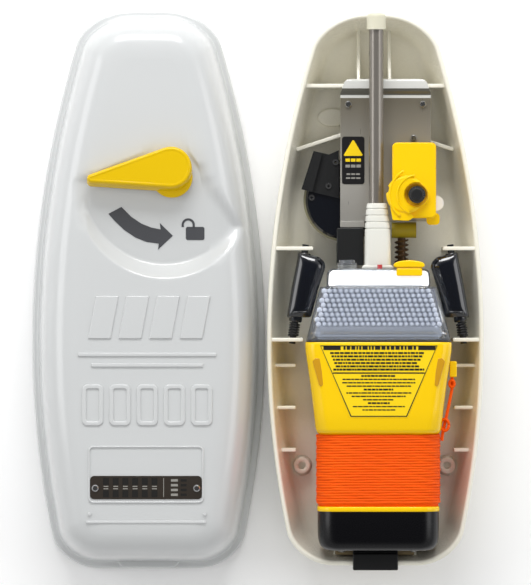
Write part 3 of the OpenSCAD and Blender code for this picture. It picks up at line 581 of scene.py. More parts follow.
for i in range(raisedPiece["slants"]):
    x, y = -36 + raisedPiece["slantStep"] * i, plateY + 112
    raised(f"raisedSlant{i}", [(x - 8.5, y), (x + 8.5, y), (x + 14.5, y + 32), (x - 2.5, y + 32)])
for i in range(2):
    w, y = 52 - 10 * i, plateY + 100 - 8 * i
    raised(f"raisedStrip{i}", rectangle(-w, y - 1.3, w, y + 1.3), bevel=0.5)
for i in range(-2, 3):
    x, y = raisedPiece["tileStep"] * i, plateY + 62
    outer, inner = moved(roundRect(16, 31, 4), x, y), moved(roundRect(9.6, 24.6, 1.6), x, y)
    ringPlate(f"raisedTile{i + 2}", onCover(outer), onCover(inner), 68.8, 71.1, 0.7, "coverPlastic",
              "cover")
frameY = plateY + 9.8
ringPlate("raisedFrame", onCover([(px - 0.9, py + frameY) for px, py in roundRect(87, 43, 4)]),
          onCover([(px - 0.9, py + frameY) for px, py in roundRect(84.4, 40.4, 2.7)]), 68.8, 71.0, 0.4,
          "coverPlastic", "cover")
y = plateY - 26
raised("raisedFootStrip", rectangle(-46, y - 1, 44, y + 1), height=0.6, bevel=0.4)
for s in (-1, 1):
    raised(f"raisedDot{s + 1}", [(s * 43.4 + 1.3 * math.cos(a), plateY - 20 + 1.3 * math.sin(a))
                                 for a in [math.pi * i / 8 for i in range(16)]], bevel=0.4)

# Expiry grid: dark squares in two rows, two narrow columns, then pale ticks
plateTop = plateHigh[2] / mm


def onExpiry(name, x, y, halfWidth, halfHeight, ink, lift=0.1):
    plate(name, onCover(rectangle(x - halfWidth, y - halfHeight, x + halfWidth, y + halfHeight)),
          plateTop - 0.1, plateTop + lift, 0, ink, "cover", smooth=False)


for column in range(6):
    for row in range(2):
        onExpiry(f"expirySquare{column}{row}", -31 + 7.3 * column, plateY + 4.6 - 9.2 * row, 2.2, 2.6,
                 "inkBlack", 0.12)
for row in range(4):
    for x, w, ink in ((20.5, 2.6, "inkPale"), (27.5, 2.2, "inkBlack")):
        onExpiry(f"expiryBar{int(x)}{row}", x, plateY + 5.4 - 3.6 * row, w, 0.9, ink, 0.12)
for row in range(2):
    for column in range(6):
        onExpiry(f"expiryTick{column}{row}", -31 + 7.3 * column, plateY + 0.9 - 1.8 * row, 1.8, 0.35,
                 "inkPale")
onExpiry("expiryDivider", 12.4, plateY, 0.25, 7, "inkPale")

# Hinge block at the cover's foot, with its slot
footY = -coverLength / 2
hinge = moved([(-20, 0.4), (20, 0.4), (24, 5), (28, 11), (26, 13), (-26, 13), (-28, 11), (-24, 5)], 0,
              footY)
plate("hingeBlock", onCover(hinge), 11.6, 15, 1.4, "coverPlastic", "cover")
print("cover ready")


# The tray: one moulding with a rolled rim, then its ribs and bosses inside
trayPiece = {"ribThick": 2.6, "ribEdge": 0.8, "capFoot": -196.5, "bodyTop": -39.5, "bootTop": 65,
             "partition": 154, "beaconX": 2, "armX": 55, "armTop": 31, "armRun": 69, "armHeight": 49}
wallHeights = [(15, 0), (12, 0.6), (10.4, 2), (9.2, 5), (6.4, 17), (4, 30), (1.9, 42.2), (1.4, 43),
               (0.2, 43.4), (0, 44), (0, 48.2), (0.25, 49), (0.8, 49.7), (1.5, 50), (2.4, 50), (3.0, 49.7),
               (3.5, 49), (3.9, 47.4), (5.1, 42), (7.3, 30), (9.6, 17), (11.6, 9.5), (12.8, 6), (14.8, 3.8),
               (17.4, 3)]


def makeTray():
    rings = [trayRing(inset, z) for inset, z in wallHeights]
    centre = [towardsSpine(rings[-1], s / 12, 0.15) for s in range(1, 13)]
    tray = newPiece("trayShell", *loftRings(rings + centre, capped=False), "trayPlastic", "tray")
    fixNormals(tray, closed=True, footCount=len(rings[0]))
    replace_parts(tray, "base_shell")


makeTray()


def wallX(y, z):
    # how far out the tray's inner face is at this height
    heights = [(z2, inset) for inset, z2 in wallHeights[14:]]
    for (za, ia), (zb, ib) in zip(heights, heights[1:]):
        if zb <= z <= za:
            inset = ib + (ia - ib) * (z - zb) / max(1e-6, za - zb)
            break
    else:
        inset = heights[-1][1]
    return sideAt(y, trayLength, trayWidth, trayTop, trayFoot) - inset


# A rib across the tray, its outer end following the wall's slope
def wallRib(name, side, y, innerX, top, thick=None):
    thick = thick or trayPiece["ribThick"]
    outer = [(side * (wallX(y, z) + 0.9), z)
             for z in (3, 5, 9, 17, 30, 42, 47) if z < top] + [(side * (wallX(y, top) + 0.9), top)]
    section = [(innerX, 2.4)] + outer + [(innerX, top)]
    if (section[0][0] - section[1][0]) * side > 0:
        return None
    points = [(x * mm, (y + e * thick / 2) * mm, z * mm) for e in (-1, 1) for x, z in section]
    return slab(name, points, trayPiece["ribEdge"], "trayPlastic", "tray")


def boxRib(name, x, y, width, length, top, angle=0, low=2.4, bevel=None, finish=None):
    place = Matrix.Translation((x * mm, y * mm, 0)) @ Matrix.Rotation(math.radians(angle), 4, "Z")
    outline = rectangle(-width / 2, -length / 2, width / 2, length / 2)
    return plate(name, outline, low, top, bevel or trayPiece["ribEdge"], finish or "trayPlastic", "tray",
                 place=place)


for side in (-1, 1):
    x = trayPiece["beaconX"] + side * (trayPiece["armX"] - 6)
    top, low = trayPiece["armTop"], trayPiece["armTop"] - trayPiece["armRun"]
    wallRib(f"armRibUpper{side + 1}", side, top, x, trayPiece["armHeight"], 3)
    wallRib(f"armRibLower{side + 1}", side, low, trayPiece["beaconX"] + side * (trayPiece["armX"] + 1.5),
            trayPiece["armHeight"], 3)
    for i in range(4):
        wallRib(f"sideRib{side + 1}{i}", side, trayPiece["bodyTop"] - 18 - 32 * i, side * 60, 36)
    boxRib(f"capRib{side + 1}", side * 30, -trayLength / 2 + 11.5, 3, 9, 30)
    boxRib(f"slantRib{side + 1}", side * 41.6, trayPiece["bootTop"] + 47, 38, 3, 27, angle=-18 * side)
for s in (-1, 1):
    wallRib(f"partition{s + 1}", s, trayPiece["partition"], -s * 2, 45, 3)
for x in (-12.5, 11):
    start, end = trayPiece["partition"], trayLength / 2 - 8
    profile = [(start, 2.4), (end, 2.4), (end, 8), (end - 14, 17), (end - 30, 27), (start + 8, 34),
               (start, 36)]
    points = [((x + e * 1.3) * mm, y * mm, z * mm) for e in (-1, 1) for y, z in profile]
    slab(f"pocketRib{int(x)}", points, 0.8, "trayPlastic", "tray")
for i, y in enumerate((trayPiece["bodyTop"] - 12, trayPiece["capFoot"] + 104)):
    boxRib(f"cradleRib{i}", trayPiece["beaconX"], y, 63, 3, 9)


# Round bosses with a screw hole
def boss(name, x, y, outer, hole, low, top):
    rings = [(outer + 1.6, low), (outer + 0.5, low + 0.6), (outer, low + 1.8), (outer - 0.1, top - 0.7),
             (outer - 0.7, top), (hole + 0.6, top), (hole, top - 0.6), (hole, low - 1.5)]
    return newPiece(name, *loftRings([ringAt(x, y, r, z, 40) for r, z in rings]), "trayPlastic", "tray")


mountLow = (sideAt(-134, trayLength, trayWidth, trayTop, trayFoot) - 20, -134)
mountUp = (19, 126)
for s in (-1, 1):
    boss(f"bossLow{s + 1}", s * mountLow[0], mountLow[1], 6.5, 2.75, 2.9, 11)
    boss(f"bossUp{s + 1}", s * mountUp[0], mountUp[1], 6.5, 2.75, 2.9, 11)
pad = [(-32 + 11.5 * math.cos(a), 131 + 7 * math.sin(a)) for a in [2 * math.pi * i / 48 for i in range(48)]]
plate("padOval", pad, 2.4, 6.5, 1.4, "trayPlastic", "tray", segments=4)

# Painted shade for the recess at the tray's foot, below the beacon's cap: a brown-dark block standing in
# for its shadow
boxRib("footRecess", -0.3, -trayLength / 2 + 9.8, 60, 4.4, 40, bevel=1.2, finish="recessPaintedShade")
print("tray ready")


# Lever: a flat teardrop whose skirt slopes out towards the foot, over a round hub
leverPiece = {"round": 16, "tip": 3.7, "length": 64, "bottom": 70.2, "top": 80.9, "turn": 188, "skirt": 2.3}
leverReach = leverPiece["length"] - leverPiece["tip"]
leverLean = math.acos((leverPiece["round"] - leverPiece["tip"]) / leverReach)


def teardrop(less, steps=34):
    big, small = leverPiece["round"] - less, max(0.6, leverPiece["tip"] - less)
    lean = leverLean
    points = [(big * math.cos(a), big * math.sin(a)) for a in
              [lean + (2 * math.pi - 2 * lean) * i / steps for i in range(steps + 1)]]

    def side(sign, outward):
        a = sign * lean
        start = Vector((big * math.cos(a), big * math.sin(a)))
        end = Vector((leverReach + small * math.cos(a), small * math.sin(a)))
        run = [start.lerp(end, i / 14) for i in range(1, 14)]
        return [tuple(p) for p in (run if outward else run[::-1])]

    points += side(-1, True)
    points += [(leverReach + small * math.cos(a), small * math.sin(a)) for a in
               [-lean + 2 * lean * i / 12 for i in range(13)]]
    return points + side(1, False)


def makeLever():
    low, top = leverPiece["bottom"], leverPiece["top"]
    rows = [(1.2, low), (0.2, low + 0.2), (0, low + 0.8), (0.1, low + 3), (0.3, top - 2.6),
            (0.5, top - 1.6), (0.95, top - 0.75), (1.6, top - 0.2), (2.3, top), (2.9, top - 0.02),
            (3.3, top - 0.2), (3.7, top - 0.34)]
    turn = Matrix.Rotation(math.radians(leverPiece["turn"]), 4, "Z")
    rings = []
    for less, z in rows:
        slide = -leverPiece["skirt"] * min(1, max(0, (top - 1.6 - z) / 8))
        place = Matrix.Translation(((pivotX + coverMiddle) * mm, (pivotY + slide) * mm, 0)) @ turn
        rings.append([place @ Vector((x * mm, y * mm, z * mm)) for x, y in teardrop(less)])
    lever = newPiece("leverHandle", *loftRings(rings), "leverPlastic", "lever")
    edgeRound(lever, 0)
    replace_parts(lever, "lever")
    hubRows = [(14.4, 68.6), (15.4, 68.8), (15.6, 69.4), (15.6, 70.6), (15.2, 71.6), (14.2, 72)]
    hub = [ringAt(pivotX + coverMiddle + 0.6, pivotY - 7.2, r, z, 56) for r, z in hubRows]
    newPiece("leverHub", *loftRings(hub), "leverPlastic", "lever")


makeLever()

# Turning arrow and open padlock, laid on the scoop's sloping floor
scoopPlace = Matrix.Translation((coverMiddle * mm, scoopStart * mm, coverPiece["height"] * mm)) @ \
    Matrix.Rotation(math.radians(coverPiece["scoopTilt"]), 4,
                    "X") @ Matrix.Translation((0, -scoopStart * mm, 0))


def onScoop(name, outline):
    return plate(name, outline, -0.3, 0.28, 0, "inkGrey", "cover", place=scoopPlace, smooth=False)


arrowPiece = [(-19.5, 61.8), (-12, 54.3), (-4.5, 49.2), (3, 46.2), (10, 44.8), (9.4, 49.6), (19.2, 40),
              (8, 29.4), (8.6, 34), (-0.5, 35.2), (-9, 38.6), (-17.5, 44.4), (-24.6, 51.2), (-29.4, 56.6)]
arrow = onScoop("turnArrow", arrowPiece[::-1])
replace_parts(arrow, "open_arrow")
lockX, lockY = pivotX + 18, pivotY - 50
onScoop("lockBody", [(lockX + x, lockY + y) for x, y in roundRect(14, 10, 1.5)])
shackle = [(5 * math.cos(a), 5 * math.sin(a)) for a in [math.pi * i / 16 for i in range(17)]] + [(-5, -1.6),
                                                            (-3.3, -1.6)]
shackle += [(3.3 * math.cos(a), 3.3 * math.sin(a))
            for a in [math.pi * (1 - i / 16) for i in range(17)]] + [(3.3, -2.5), (5, -2.5)]
onScoop("lockShackle", [(lockX - 5.2 + x, lockY + 6.5 + y) for x, y in shackle])
print("lever ready")


# Steel plate: a tab over the partition, a rolled step, the flat, then a bend down to a lip
platePiece = {"x": 7.8, "thick": 1.3}
sheetRows = [(159.2, 44.6, 25), (159.0, 45.6, 28), (158.2, 46.3, 30.4), (156.5, 46.6, 32), (152, 46.6, 33),
             (150.2, 46.3, 33.4), (149.2, 45.4, 33.9), (148.2, 44.4, 34.2), (147, 44.05, 34.2),
             (145.2, 44, 34.2), (144.8, 44, 34.2)]
sheetRows += [(y, 44, 34.2) for y in (130, 110, 95, 79)]
sheetRows += [(79 - d, 44 - 75 + math.sqrt(75 * 75 - d * d), 34.2) for d in (4, 8, 12, 16, 20, 24, 27.4)]


def sheetRing(x0, x1, y, z, thick):
    low = (z - thick) * mm
    return [(x0 * mm, y * mm, z * mm), (x1 * mm, y * mm, z * mm), (x1 * mm, y * mm, low),
            (x0 * mm, y * mm, low)]


def makeSheet():
    rings = []
    for y, z, half in sheetRows:
        x0, x1 = platePiece["x"] - half, platePiece["x"] + half
        if half < 33:
            x0, x1 = x0 + 0.6, x1 - 0.8
        rings.append(sheetRing(x0, x1, y, z, platePiece["thick"]))
    sheet = loft("steelPlate", rings, "brushedSheet", "tray")
    sheet.data.materials.append(finishes["sheetPaintedHighlight"])
    sheet.data.materials.append(finishes["sheetPaintedShade"])
    # bands of the steel: painted highlight on the tab and the bend, painted shade on the rolled step
    for polygon in sheet.data.polygons:
        y = polygon.center.y / mm
        polygon.material_index = 1 if y > 151.8 or 145 < y < 147 else 2 if y > 147 else 0
    edgeRound(sheet, 0.3 * mm, 2, 60)
    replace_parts(sheet, "backing_plate")
    plate("steelLip", rectangle(-26.4, 46.9, -8, 52), 37.6, 38.9, 0.5, "brushedSheet", "tray")


makeSheet()

# Release gear on the steel plate
soften("release_box", 1.1, "yellowPlastic", 4)
soften("release_cam", 0.7, "yellowPlastic", 3)
boltX, boltY = 30.7, 71.2
for name, radius, thick, start, end, z in (("camRidgeOuter", 20.3, 1.1, 118, 232, 71.4),
                                           ("camRidgeInner", 14.6, 1.0, 96, 250, 71.8)):
    arc = [((boltX + radius * math.cos(a)) * mm, (boltY + radius * math.sin(a)) * mm, z * mm)
           for a in [math.radians(start + (end - start) * i / 24) for i in range(25)]]
    loft(name, tubeRings(arc, thick * mm, 10), "yellowPlastic", "cam")
# a bowl round the bolt, coloured darker with painted shade
bowlRows = [(8.6, 69.3), (8.2, 69.5), (7.4, 69.1), (6.9, 68.2), (6.9, 67)]
loft("boltBowl", [ringAt(boltX, boltY, r, z, 40) for r, z in bowlRows], "slotYellow", "tray")
soften("disc_bracket", 0.35, "mattBlack", 2)
soften("rest_block", 0.9, "mattBlack", 3)
soften("hinge_tab", 0.9, "mattBlack", 3)


# Retaining arms: a rounded, crowned wedge beside a barrel that turns on its pin
armPiece = {"x": 55, "top": 31, "z": 46, "tilt": math.atan(9.5 / 69), "corner": 2.2}
armPlan = [(4.5, -3.5), (-12, -5), (-17.3, -11), (-14, -29.5), (-11.5, -51), (6.8, -54), (6.2, -30)]
barrelRows = [(-3.5, 4.4), (-4.2, 5), (-12, 5), (-12.5, 4.5), (-13, 5), (-45, 5), (-45.5, 4.5), (-46, 5),
              (-55.2, 5), (-56, 4.4)]
armRims = {"Edge": [(-11.2, -6.4), (-15.6, -11.8), (-12.1, -29.5), (-9, -47)],
           "Foot": [(-8.4, -47.6), (3, -49.4)]}
armRows = [(0.8, -2), (0, -1.3), (0, 2.6), (0.3, 4.0), (1.0, 5.3), (2.0, 6.3), (3.2, 7.0), (4.4, 7.6),
           (5.6, 8.0), (6.6, 8.2)]


def offsetPlan(plan, inward):
    out = []
    n = len(plan)
    for i in range(n):
        a, b, c = Vector(plan[i - 1]), Vector(plan[i]), Vector(plan[(i + 1) % n])
        u, v = (b - a).normalized(), (c - b).normalized()
        nu, nv = Vector((-u.y, u.x)), Vector((-v.y, v.x))
        bisector = (nu + nv).normalized()
        out.append(b + bisector * inward / max(0.35, bisector.dot(nu)))
    return out


def roundPlan(plan, radius, steps=5):
    out = []
    n = len(plan)
    for i in range(n):
        a, b, c = Vector(plan[i - 1]), Vector(plan[i]), Vector(plan[(i + 1) % n])
        start = b + (a - b).normalized() * min(radius, (a - b).length * 0.45)
        end = b + (c - b).normalized() * min(radius, (c - b).length * 0.45)
        for k in range(steps + 1):
            t = k / steps
            out.append(start * (1 - t) ** 2 + b * 2 * t * (1 - t) + end * t * t)
    return out


def makeArm(side, sign):
    turn = Matrix.Translation(((trayPiece["beaconX"] + sign * armPiece["x"]) * mm, armPiece["top"] * mm,
                               armPiece["z"] * mm)) @ \
        Matrix.Rotation(armPiece["tilt"] * sign, 4, "Z")
    rings = []
    for inset, z in armRows:
        plan = roundPlan(offsetPlan(armPlan, inset), armPiece["corner"] + inset * 0.4)
        rings.append([turn @ Vector((sign * p.x * mm, p.y * mm, z * mm)) for p in plan])
    name, body = "arm" + side.title(), side + "_arm"
    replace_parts(loft(name, rings, "glossBlack", body), "arm_" + side)
    barrel = []
    for y, r in barrelRows:
        barrel.append([turn @ Vector((r * math.cos(a) * mm, y * mm, r * math.sin(a) * mm))
                       for a in angles(32)])
    loft(name + "Barrel", barrel, "glossBlack", body)
    # a raised rim along the arm's inner edge and a lip at its foot
    for tag, path in armRims.items():
        line = [turn @ Vector((sign * x * mm, y * mm, 6.6 * mm)) for x, y in path]
        loft(name + tag, tubeRings(smoothPath(line, 5), 1.15 * mm, 10), "glossBlack", body)


makeArm("left", -1)
makeArm("right", 1)
print("release gear ready")


# Beacon body: rows along its length are (y, width, depth, corner)
beaconPiece = {"x": 2, "z": 46, "bodyTop": -39.5, "front": 83}
bodyRows = [(-163.5, 86, 61, 13), (-163.5, 88.8, 64, 14), (-109, 88.8, 64, 14), (-108.5, 89.6, 66, 14),
            (-108.2, 91.2, 69.4, 13), (-107.4, 92.4, 71.2, 12.5), (-106, 93.4, 72.6, 12),
            (-104.5, 94.4, 73.6, 12), (-90, 97.6, 74, 11.4), (-70, 102.6, 74, 10.8), (-50, 108.5, 74, 10),
            (-46.5, 109.6, 74, 10), (-42, 110, 74, 10), (-40.6, 109.8, 73.8, 10), (-39.8, 109.2, 73.2, 10),
            (-39.5, 108, 72, 10), (-39.5, 104, 68, 9)]


def beaconRings(rows, steps=8):
    return acrossRings(rows, beaconPiece["x"], beaconPiece["z"], steps)


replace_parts(loft("beaconBody", beaconRings(bodyRows), "yellowPlastic", "beacon"), "body_shell")
collarRows = [(-166.9, 89, 66.5, 14), (-166.9, 91.4, 69.4, 14), (-166.4, 91.9, 69.9, 14),
              (-163.9, 91.9, 69.9, 14), (-163.3, 91.4, 69.4, 14), (-163.2, 88.6, 63.8, 14)]
loft("bodyCollar", beaconRings(collarRows), "yellowPlastic", "beacon")


# Side slots in the body's shoulders: pieces in a darker yellow, painted shade standing in for the grooves,
# with a soft edge
slotLine = [(-51.8, 44.4), (-51.6, 47.6), (-54, 49.8), (-63, 47.2), (-71.5, 44.9), (-73, 43.4),
            (-71.6, 41.8), (-62, 42.6)]
for s in (-1, 1):
    points = [(beaconPiece["x"] + s * x, y) for y, x in slotLine]
    plate(f"bodySlot{s + 1}", points if s > 0 else points[::-1], 82.0, 83.2, 0.45, "slotYellow", "beacon")

# Front label: a thin outline and plain bars of ink
labelPiece = {"top": 44.55, "low": 21.56, "length": 54.5, "thick": 0.14, "line": 0.55}
labelTop = beaconPiece["bodyTop"] - 2
labelFace = beaconPiece["front"] + 0.3


def inkBar(name, x0, x1, y0, y1):
    x = beaconPiece["x"]
    plate(name, rectangle(x + x0, y0, x + x1, y1), labelFace - 0.05, labelFace + labelPiece["thick"], 0,
          "inkBlack", "beacon", smooth=False)


def labelHalf(down):
    return labelPiece["top"] + (labelPiece["low"] - labelPiece["top"]) * down / labelPiece["length"]


def labelOutline(inset):
    t, l = labelPiece["top"] - inset, labelPiece["low"] - inset * 0.8
    x = beaconPiece["x"]
    return [(x + l, labelTop - labelPiece["length"] + inset), (x + t, labelTop - inset),
            (x - t, labelTop - inset), (x - l, labelTop - labelPiece["length"] + inset)]


ringPlate("labelOutline", labelOutline(0.5), labelOutline(0.5 + labelPiece["line"] * 1.3), labelFace - 0.05,
          labelFace + labelPiece["thick"], 0, "inkBlack", "beacon")
inkBar("labelHeadLeft", -41.6, -28.6, labelTop - 4, labelTop - 0.8)
inkBar("labelHeadRight", 29.6, 42.6, labelTop - 4, labelTop - 0.8)
rng = np.random.default_rng(11)


# A line of ink broken into short words of uneven length
def wordLine(name, x0, x1, y, height, gap=0.5):
    x, i = x0, 0
    while x < x1 - 0.6:
        w = min(float(rng.uniform(1.2, 4.2)), x1 - x)
        inkBar(f"{name}{i}", x, x + w, y - height / 2, y + height / 2)
        x += w + gap
        i += 1


wordLine("labelHead", -26.5, 28, labelTop - 2.4, 2.7, gap=0.8)
for i in range(5):
    down = 6.2 + 2.5 * i
    half = labelHalf(down) - 5.4
    wordLine(f"labelLineA{i}", -half, half * (0.94 if i != 3 else 0.86), labelTop - down, 1.45)
wordLine("labelLineWide", -labelHalf(18.6) + 2.6, labelHalf(18.6) - 2.6, labelTop - 18.6, 1.5, gap=0.35)
inkBar("labelRule", -labelHalf(21.2) + 1.2, labelHalf(21.2) - 1.2, labelTop - 21.7, labelTop - 20.7)
down = 23.4
for row, (size, share) in enumerate(((1.35, 0.42), (1.0, 0.9), (1.0, 0.94), (1.0, 0.86), (1.35, 0.42),
                                     (1.0, 0.94),
                                     (1.0, 0.82), (1.0, 0.5), (1.35, 0.36), (0.9, 0.9), (0.9, 0.6))):
    half = (labelHalf(down) - 3.4) * share
    wordLine(f"labelLineB{row}", -half, half, labelTop - down, size, gap=0.45)
    down += 2.55
print("body ready")


# Clear lens with its stepped shoulder, over a dimpled reflector
lensRows = [(-38.5, 108.6, 73, 9), (-36, 107.4, 72.9, 9), (-24, 101.2, 71.4, 9), (-10, 93.9, 69.6, 9),
            (-1, 89.1, 68.2, 9), (0.6, 88.5, 68, 9), (1.5, 87.6, 67.5, 8.6), (1.9, 86.4, 66.8, 8.2),
            (2.0, 83, 65, 8), (2.1, 79.4, 63.4, 8), (2.6, 78.2, 63.1, 8), (4, 77.8, 62.8, 8),
            (9, 77.4, 62.4, 8), (12.2, 76.8, 61.8, 8), (13.8, 75.6, 60.6, 7.8), (14.9, 73.6, 58.6, 7.4),
            (15.5, 71.2, 56.4, 7)]
innerRows = [(13, 60, 49, 6), (10.6, 70, 57, 6), (-0.6, 72, 58, 7), (-1.6, 83.7, 63, 7),
             (-38.5, 103.6, 68, 7)]
lens = newPiece("beaconLens", *loftRings(beaconRings(lensRows + innerRows), capped=False), "clearPlastic",
                "beacon")
fixNormals(lens, closed=True)
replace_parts(lens, "lens")

# Reflector dimples: a field of small facetted domes behind the lens's front
dimplePiece = {"rows": 8, "step": 4.1, "radius": 2.12, "height": 0.75, "facets": 6, "depth": 0.3}


def dimpleField(name, y0, widthAt, faceAt, finish):
    points, faces = [], []
    step, radius, facets = dimplePiece["step"], dimplePiece["radius"], dimplePiece["facets"]
    for row in range(dimplePiece["rows"]):
        y = y0 - row * step * 0.87
        half = widthAt(y)
        x = -half + (step / 2 if row % 2 else 0)
        while x <= half:
            start = len(points)
            face = faceAt(y)
            points.append((x, y, face + dimplePiece["height"]))
            for share, lift in ((0.5, 0.8), (1.0, 0.0), (1.06, -dimplePiece["depth"])):
                for j in range(facets):
                    a = 2 * math.pi * (j + 0.5) / facets
                    points.append((x + radius * share * math.cos(a), y + radius * share * math.sin(a),
                                   face + dimplePiece["height"] * lift))
            for j in range(facets):
                faces.append((start, start + 1 + j, start + 1 + (j + 1) % facets))
            for r in range(2):
                for j in range(facets):
                    a, b = start + 1 + r * facets + j, start + 1 + r * facets + (j + 1) % facets
                    faces.append((a, a + facets, b + facets, b))
            x += step
    points = [((beaconPiece["x"] + x) * mm, y * mm, z * mm) for x, y, z in points]
    return newPiece(name, points, faces, finish, "beacon", False)


def frontZ(y):
    for a, b in zip(lensRows, lensRows[1:]):
        if a[0] <= y <= b[0]:
            return beaconPiece["z"] + (a[2] + (b[2] - a[2]) * (y - a[0]) / max(1e-6, b[0] - a[0])) / 2
    return beaconPiece["z"] + lensRows[0][2] / 2


def lensHalf(y):
    return 44.3 + (54.3 - 44.3) * (1.9 - y) / 40.4


dimpleField("lensDimples", -1.2, lambda y: lensHalf(y) - 4.2, lambda y: frontZ(y) - 0.5, "dimpleWhite")


# White diffuser with a painted glow behind the lens's upper step, and a pale film behind its lower front
def filmSheet(name, rows, finish, thick):
    x = beaconPiece["x"]
    rings = [sheetRing(x - half, x + half, y, z, thick) for y, half, z in rows]
    edgeRound(loft(name, rings, finish, "beacon"), 0.2 * mm, 2)


diffuserRows = [(14.2, 34.6, 75.9), (12.6, 36.8, 76.95), (10, 37.4, 77.25), (4, 37.8, 77.45),
                (2.5, 37.2, 77.3)]
filmSheet("lampDiffuser", diffuserRows, "lampWhite", 1.2)
filmSheet("lensFilm", [(y, lensHalf(y) - 3.2, frontZ(y) - 1.9) for y in (0.4, -12, -26.5)], "filmGrey", 0.6)
print("lens ready")


# Base cap with its rounded foot
capRows = [(-165.5, 86, 60, 12), (-164.5, 86, 62, 12), (-164.5, 89, 66.6, 14), (-165, 90.4, 68.2, 14),
           (-166.5, 91, 69, 14), (-180, 90.9, 68.4, 14), (-186, 90.7, 68.1, 14), (-188.5, 90.2, 67.8, 14),
           (-190.5, 89.2, 67, 13.6), (-192.5, 87.4, 65.6, 13), (-194, 85, 63.6, 12), (-195.4, 81.6, 60, 11),
           (-196.2, 78, 56, 10), (-196.5, 73, 51, 8)]
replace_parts(loft("beaconCap", beaconRings(capRows[::-1]), "capBlack", "beacon"), "base_cap")


# Lanyard wound round the waist: one cord following the rounded section, a little slack and wavy
windPiece = {"width": 91.2, "depth": 66.4, "corner": 15, "low": -161.4, "high": -109.8, "turns": 26,
             "radius": 1.14, "wave": 0.1}


def windingPath():
    section = roundRect(windPiece["width"], windPiece["depth"], windPiece["corner"], 7)
    flat = []
    for a, b in zip(section, section[1:] + section[:1]):
        run = math.dist(a, b)
        for i in range(max(1, int(run / 6))):
            t = i / max(1, int(run / 6))
            flat.append((a[0] + (b[0] - a[0]) * t, a[1] + (b[1] - a[1]) * t))
    path = []
    total = len(flat) * windPiece["turns"]
    for k in range(total + 1):
        x, d = flat[k % len(flat)]
        turn = k // len(flat)
        y = windPiece["low"] + (windPiece["high"] - windPiece["low"]) * k / total
        wave = windPiece["wave"] * (math.sin(x * 0.21 + turn * 1.7) + 0.6 * math.sin(x * 0.47 + turn * 2.9))
        out = 1 + 0.004 * math.sin(x * 0.3 + turn * 2.1)
        path.append(((beaconPiece["x"] + x * out) * mm, (y + wave) * mm, (beaconPiece["z"] - d * out) * mm))
    return path


winding = loft("lanyardWinding", tubeRings(windingPath(), windPiece["radius"] * mm, 8), "cordBraid",
               "beacon")
underRows = [(-163.4, 89.2, 64.4, 14), (-162.8, 90.4, 65.6, 14.4), (-109.8, 90.4, 65.6, 14.4),
             (-109.2, 89.2, 64.4, 14)]
loft("lanyardUnder", beaconRings(underRows, 6), "cordBraid", "beacon")
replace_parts(winding, "lanyard_winding")
print("winding ready")


# Antenna boot: four raised collars, then a taper into the whip
bootPiece = {"x": 1.5, "z": 58, "low": 15.5, "collars": (45.9, 50.9, 55.8, 60.8)}


def makeBoot():
    rows = [(bootPiece["low"], 19.2, 15.6, 4), (bootPiece["low"] + 1, 19.8, 16.4, 4), (24, 19.6, 16.6, 4),
            (38, 19.2, 16.4, 4)]
    for i, y in enumerate(bootPiece["collars"]):
        w, d = 18.9 - 0.85 * i, 16.2 - 0.5 * i
        rows += [(y - 0.75, w, d, 4), (y - 0.45, w - 0.5, d - 0.4, 4), (y - 0.2, w - 1.5, d - 1.3, 3.8),
                 (y + 0.2, w - 1.5, d - 1.3, 3.8), (y + 0.45, w - 0.5, d - 0.4, 4),
                 (y + 0.75, w - 0.1, d - 0.1, 4)]
    rows += [(62.4, 15.6, 14.0, 4.4), (64.2, 15.2, 13.6, 4.6), (64.8, 14.4, 12.8, 4.8), (65, 13.2, 11.8, 5)]
    rings = []
    for y, w, d, r in rows:
        x = bootPiece["x"] - 0.5 * min(1, max(0, (y - 40) / 20))
        section = roundRect(w, d, min(r, w / 2.1, d / 2.1), 5)
        rings.append([((x + p[0]) * mm, y * mm, (bootPiece["z"] - p[1]) * mm) for p in section])
    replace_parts(edgeRound(loft("antennaBoot", rings, "bootRubber", "beacon"), 0), "antenna_boot")
    # a joint block where the boot's moulding meets its cover
    foot = moved([(-12.4, 15.4), (12.4, 15.4), (11, 18.4), (-11, 18.4)], bootPiece["x"], 0)
    plate("bootFoot", foot, 52, 66.6, 1.2, "bootRubber", "beacon")


makeBoot()


# Slider: a domed cap over a slot darkened with painted shade, with a tab lying on the lens's upper step
sliderX = 25
capLine = [(11.7 * math.cos(a), 18.4 + 3.6 * math.sin(a)) for a in [math.pi * i / 20 for i in range(21)]]
capLine = moved(capLine + [(-11.7, 17.2), (-10.4, 16.6), (10.4, 16.6), (11.7, 17.2)], sliderX, 0)
slider = plate("sliderCap", capLine, 50, 79.4, 1.1, "yellowPlastic", "slider", segments=4)
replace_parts(slider, "switch_slider")
plate("sliderSlot", moved(roundRect(19.5, 3.2, 1.2), sliderX, 16.6), 66, 78.6, 0.4, "slotYellow", "slider")
plate("sliderTab", moved(roundRect(19.4, 5.6, 1.4), sliderX, 13), 77.5, 79.2, 0.8, "yellowPlastic",
      "slider")
soften("lanyard_lug", 0.8, "yellowPlastic", 3)
print("antenna and switch ready")


# Plate label: a plain triangle and bars
labelLow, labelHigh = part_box("plate_label")
lx, ly1, lz = (labelLow[0] + labelHigh[0]) / 2 / mm, labelHigh[1] / mm, labelHigh[2] / mm


def onLabel(name, outline, finish):
    plate(name, moved(outline, lx, 0), lz - 0.1, lz + 0.12, 0, finish, "tray", smooth=False)


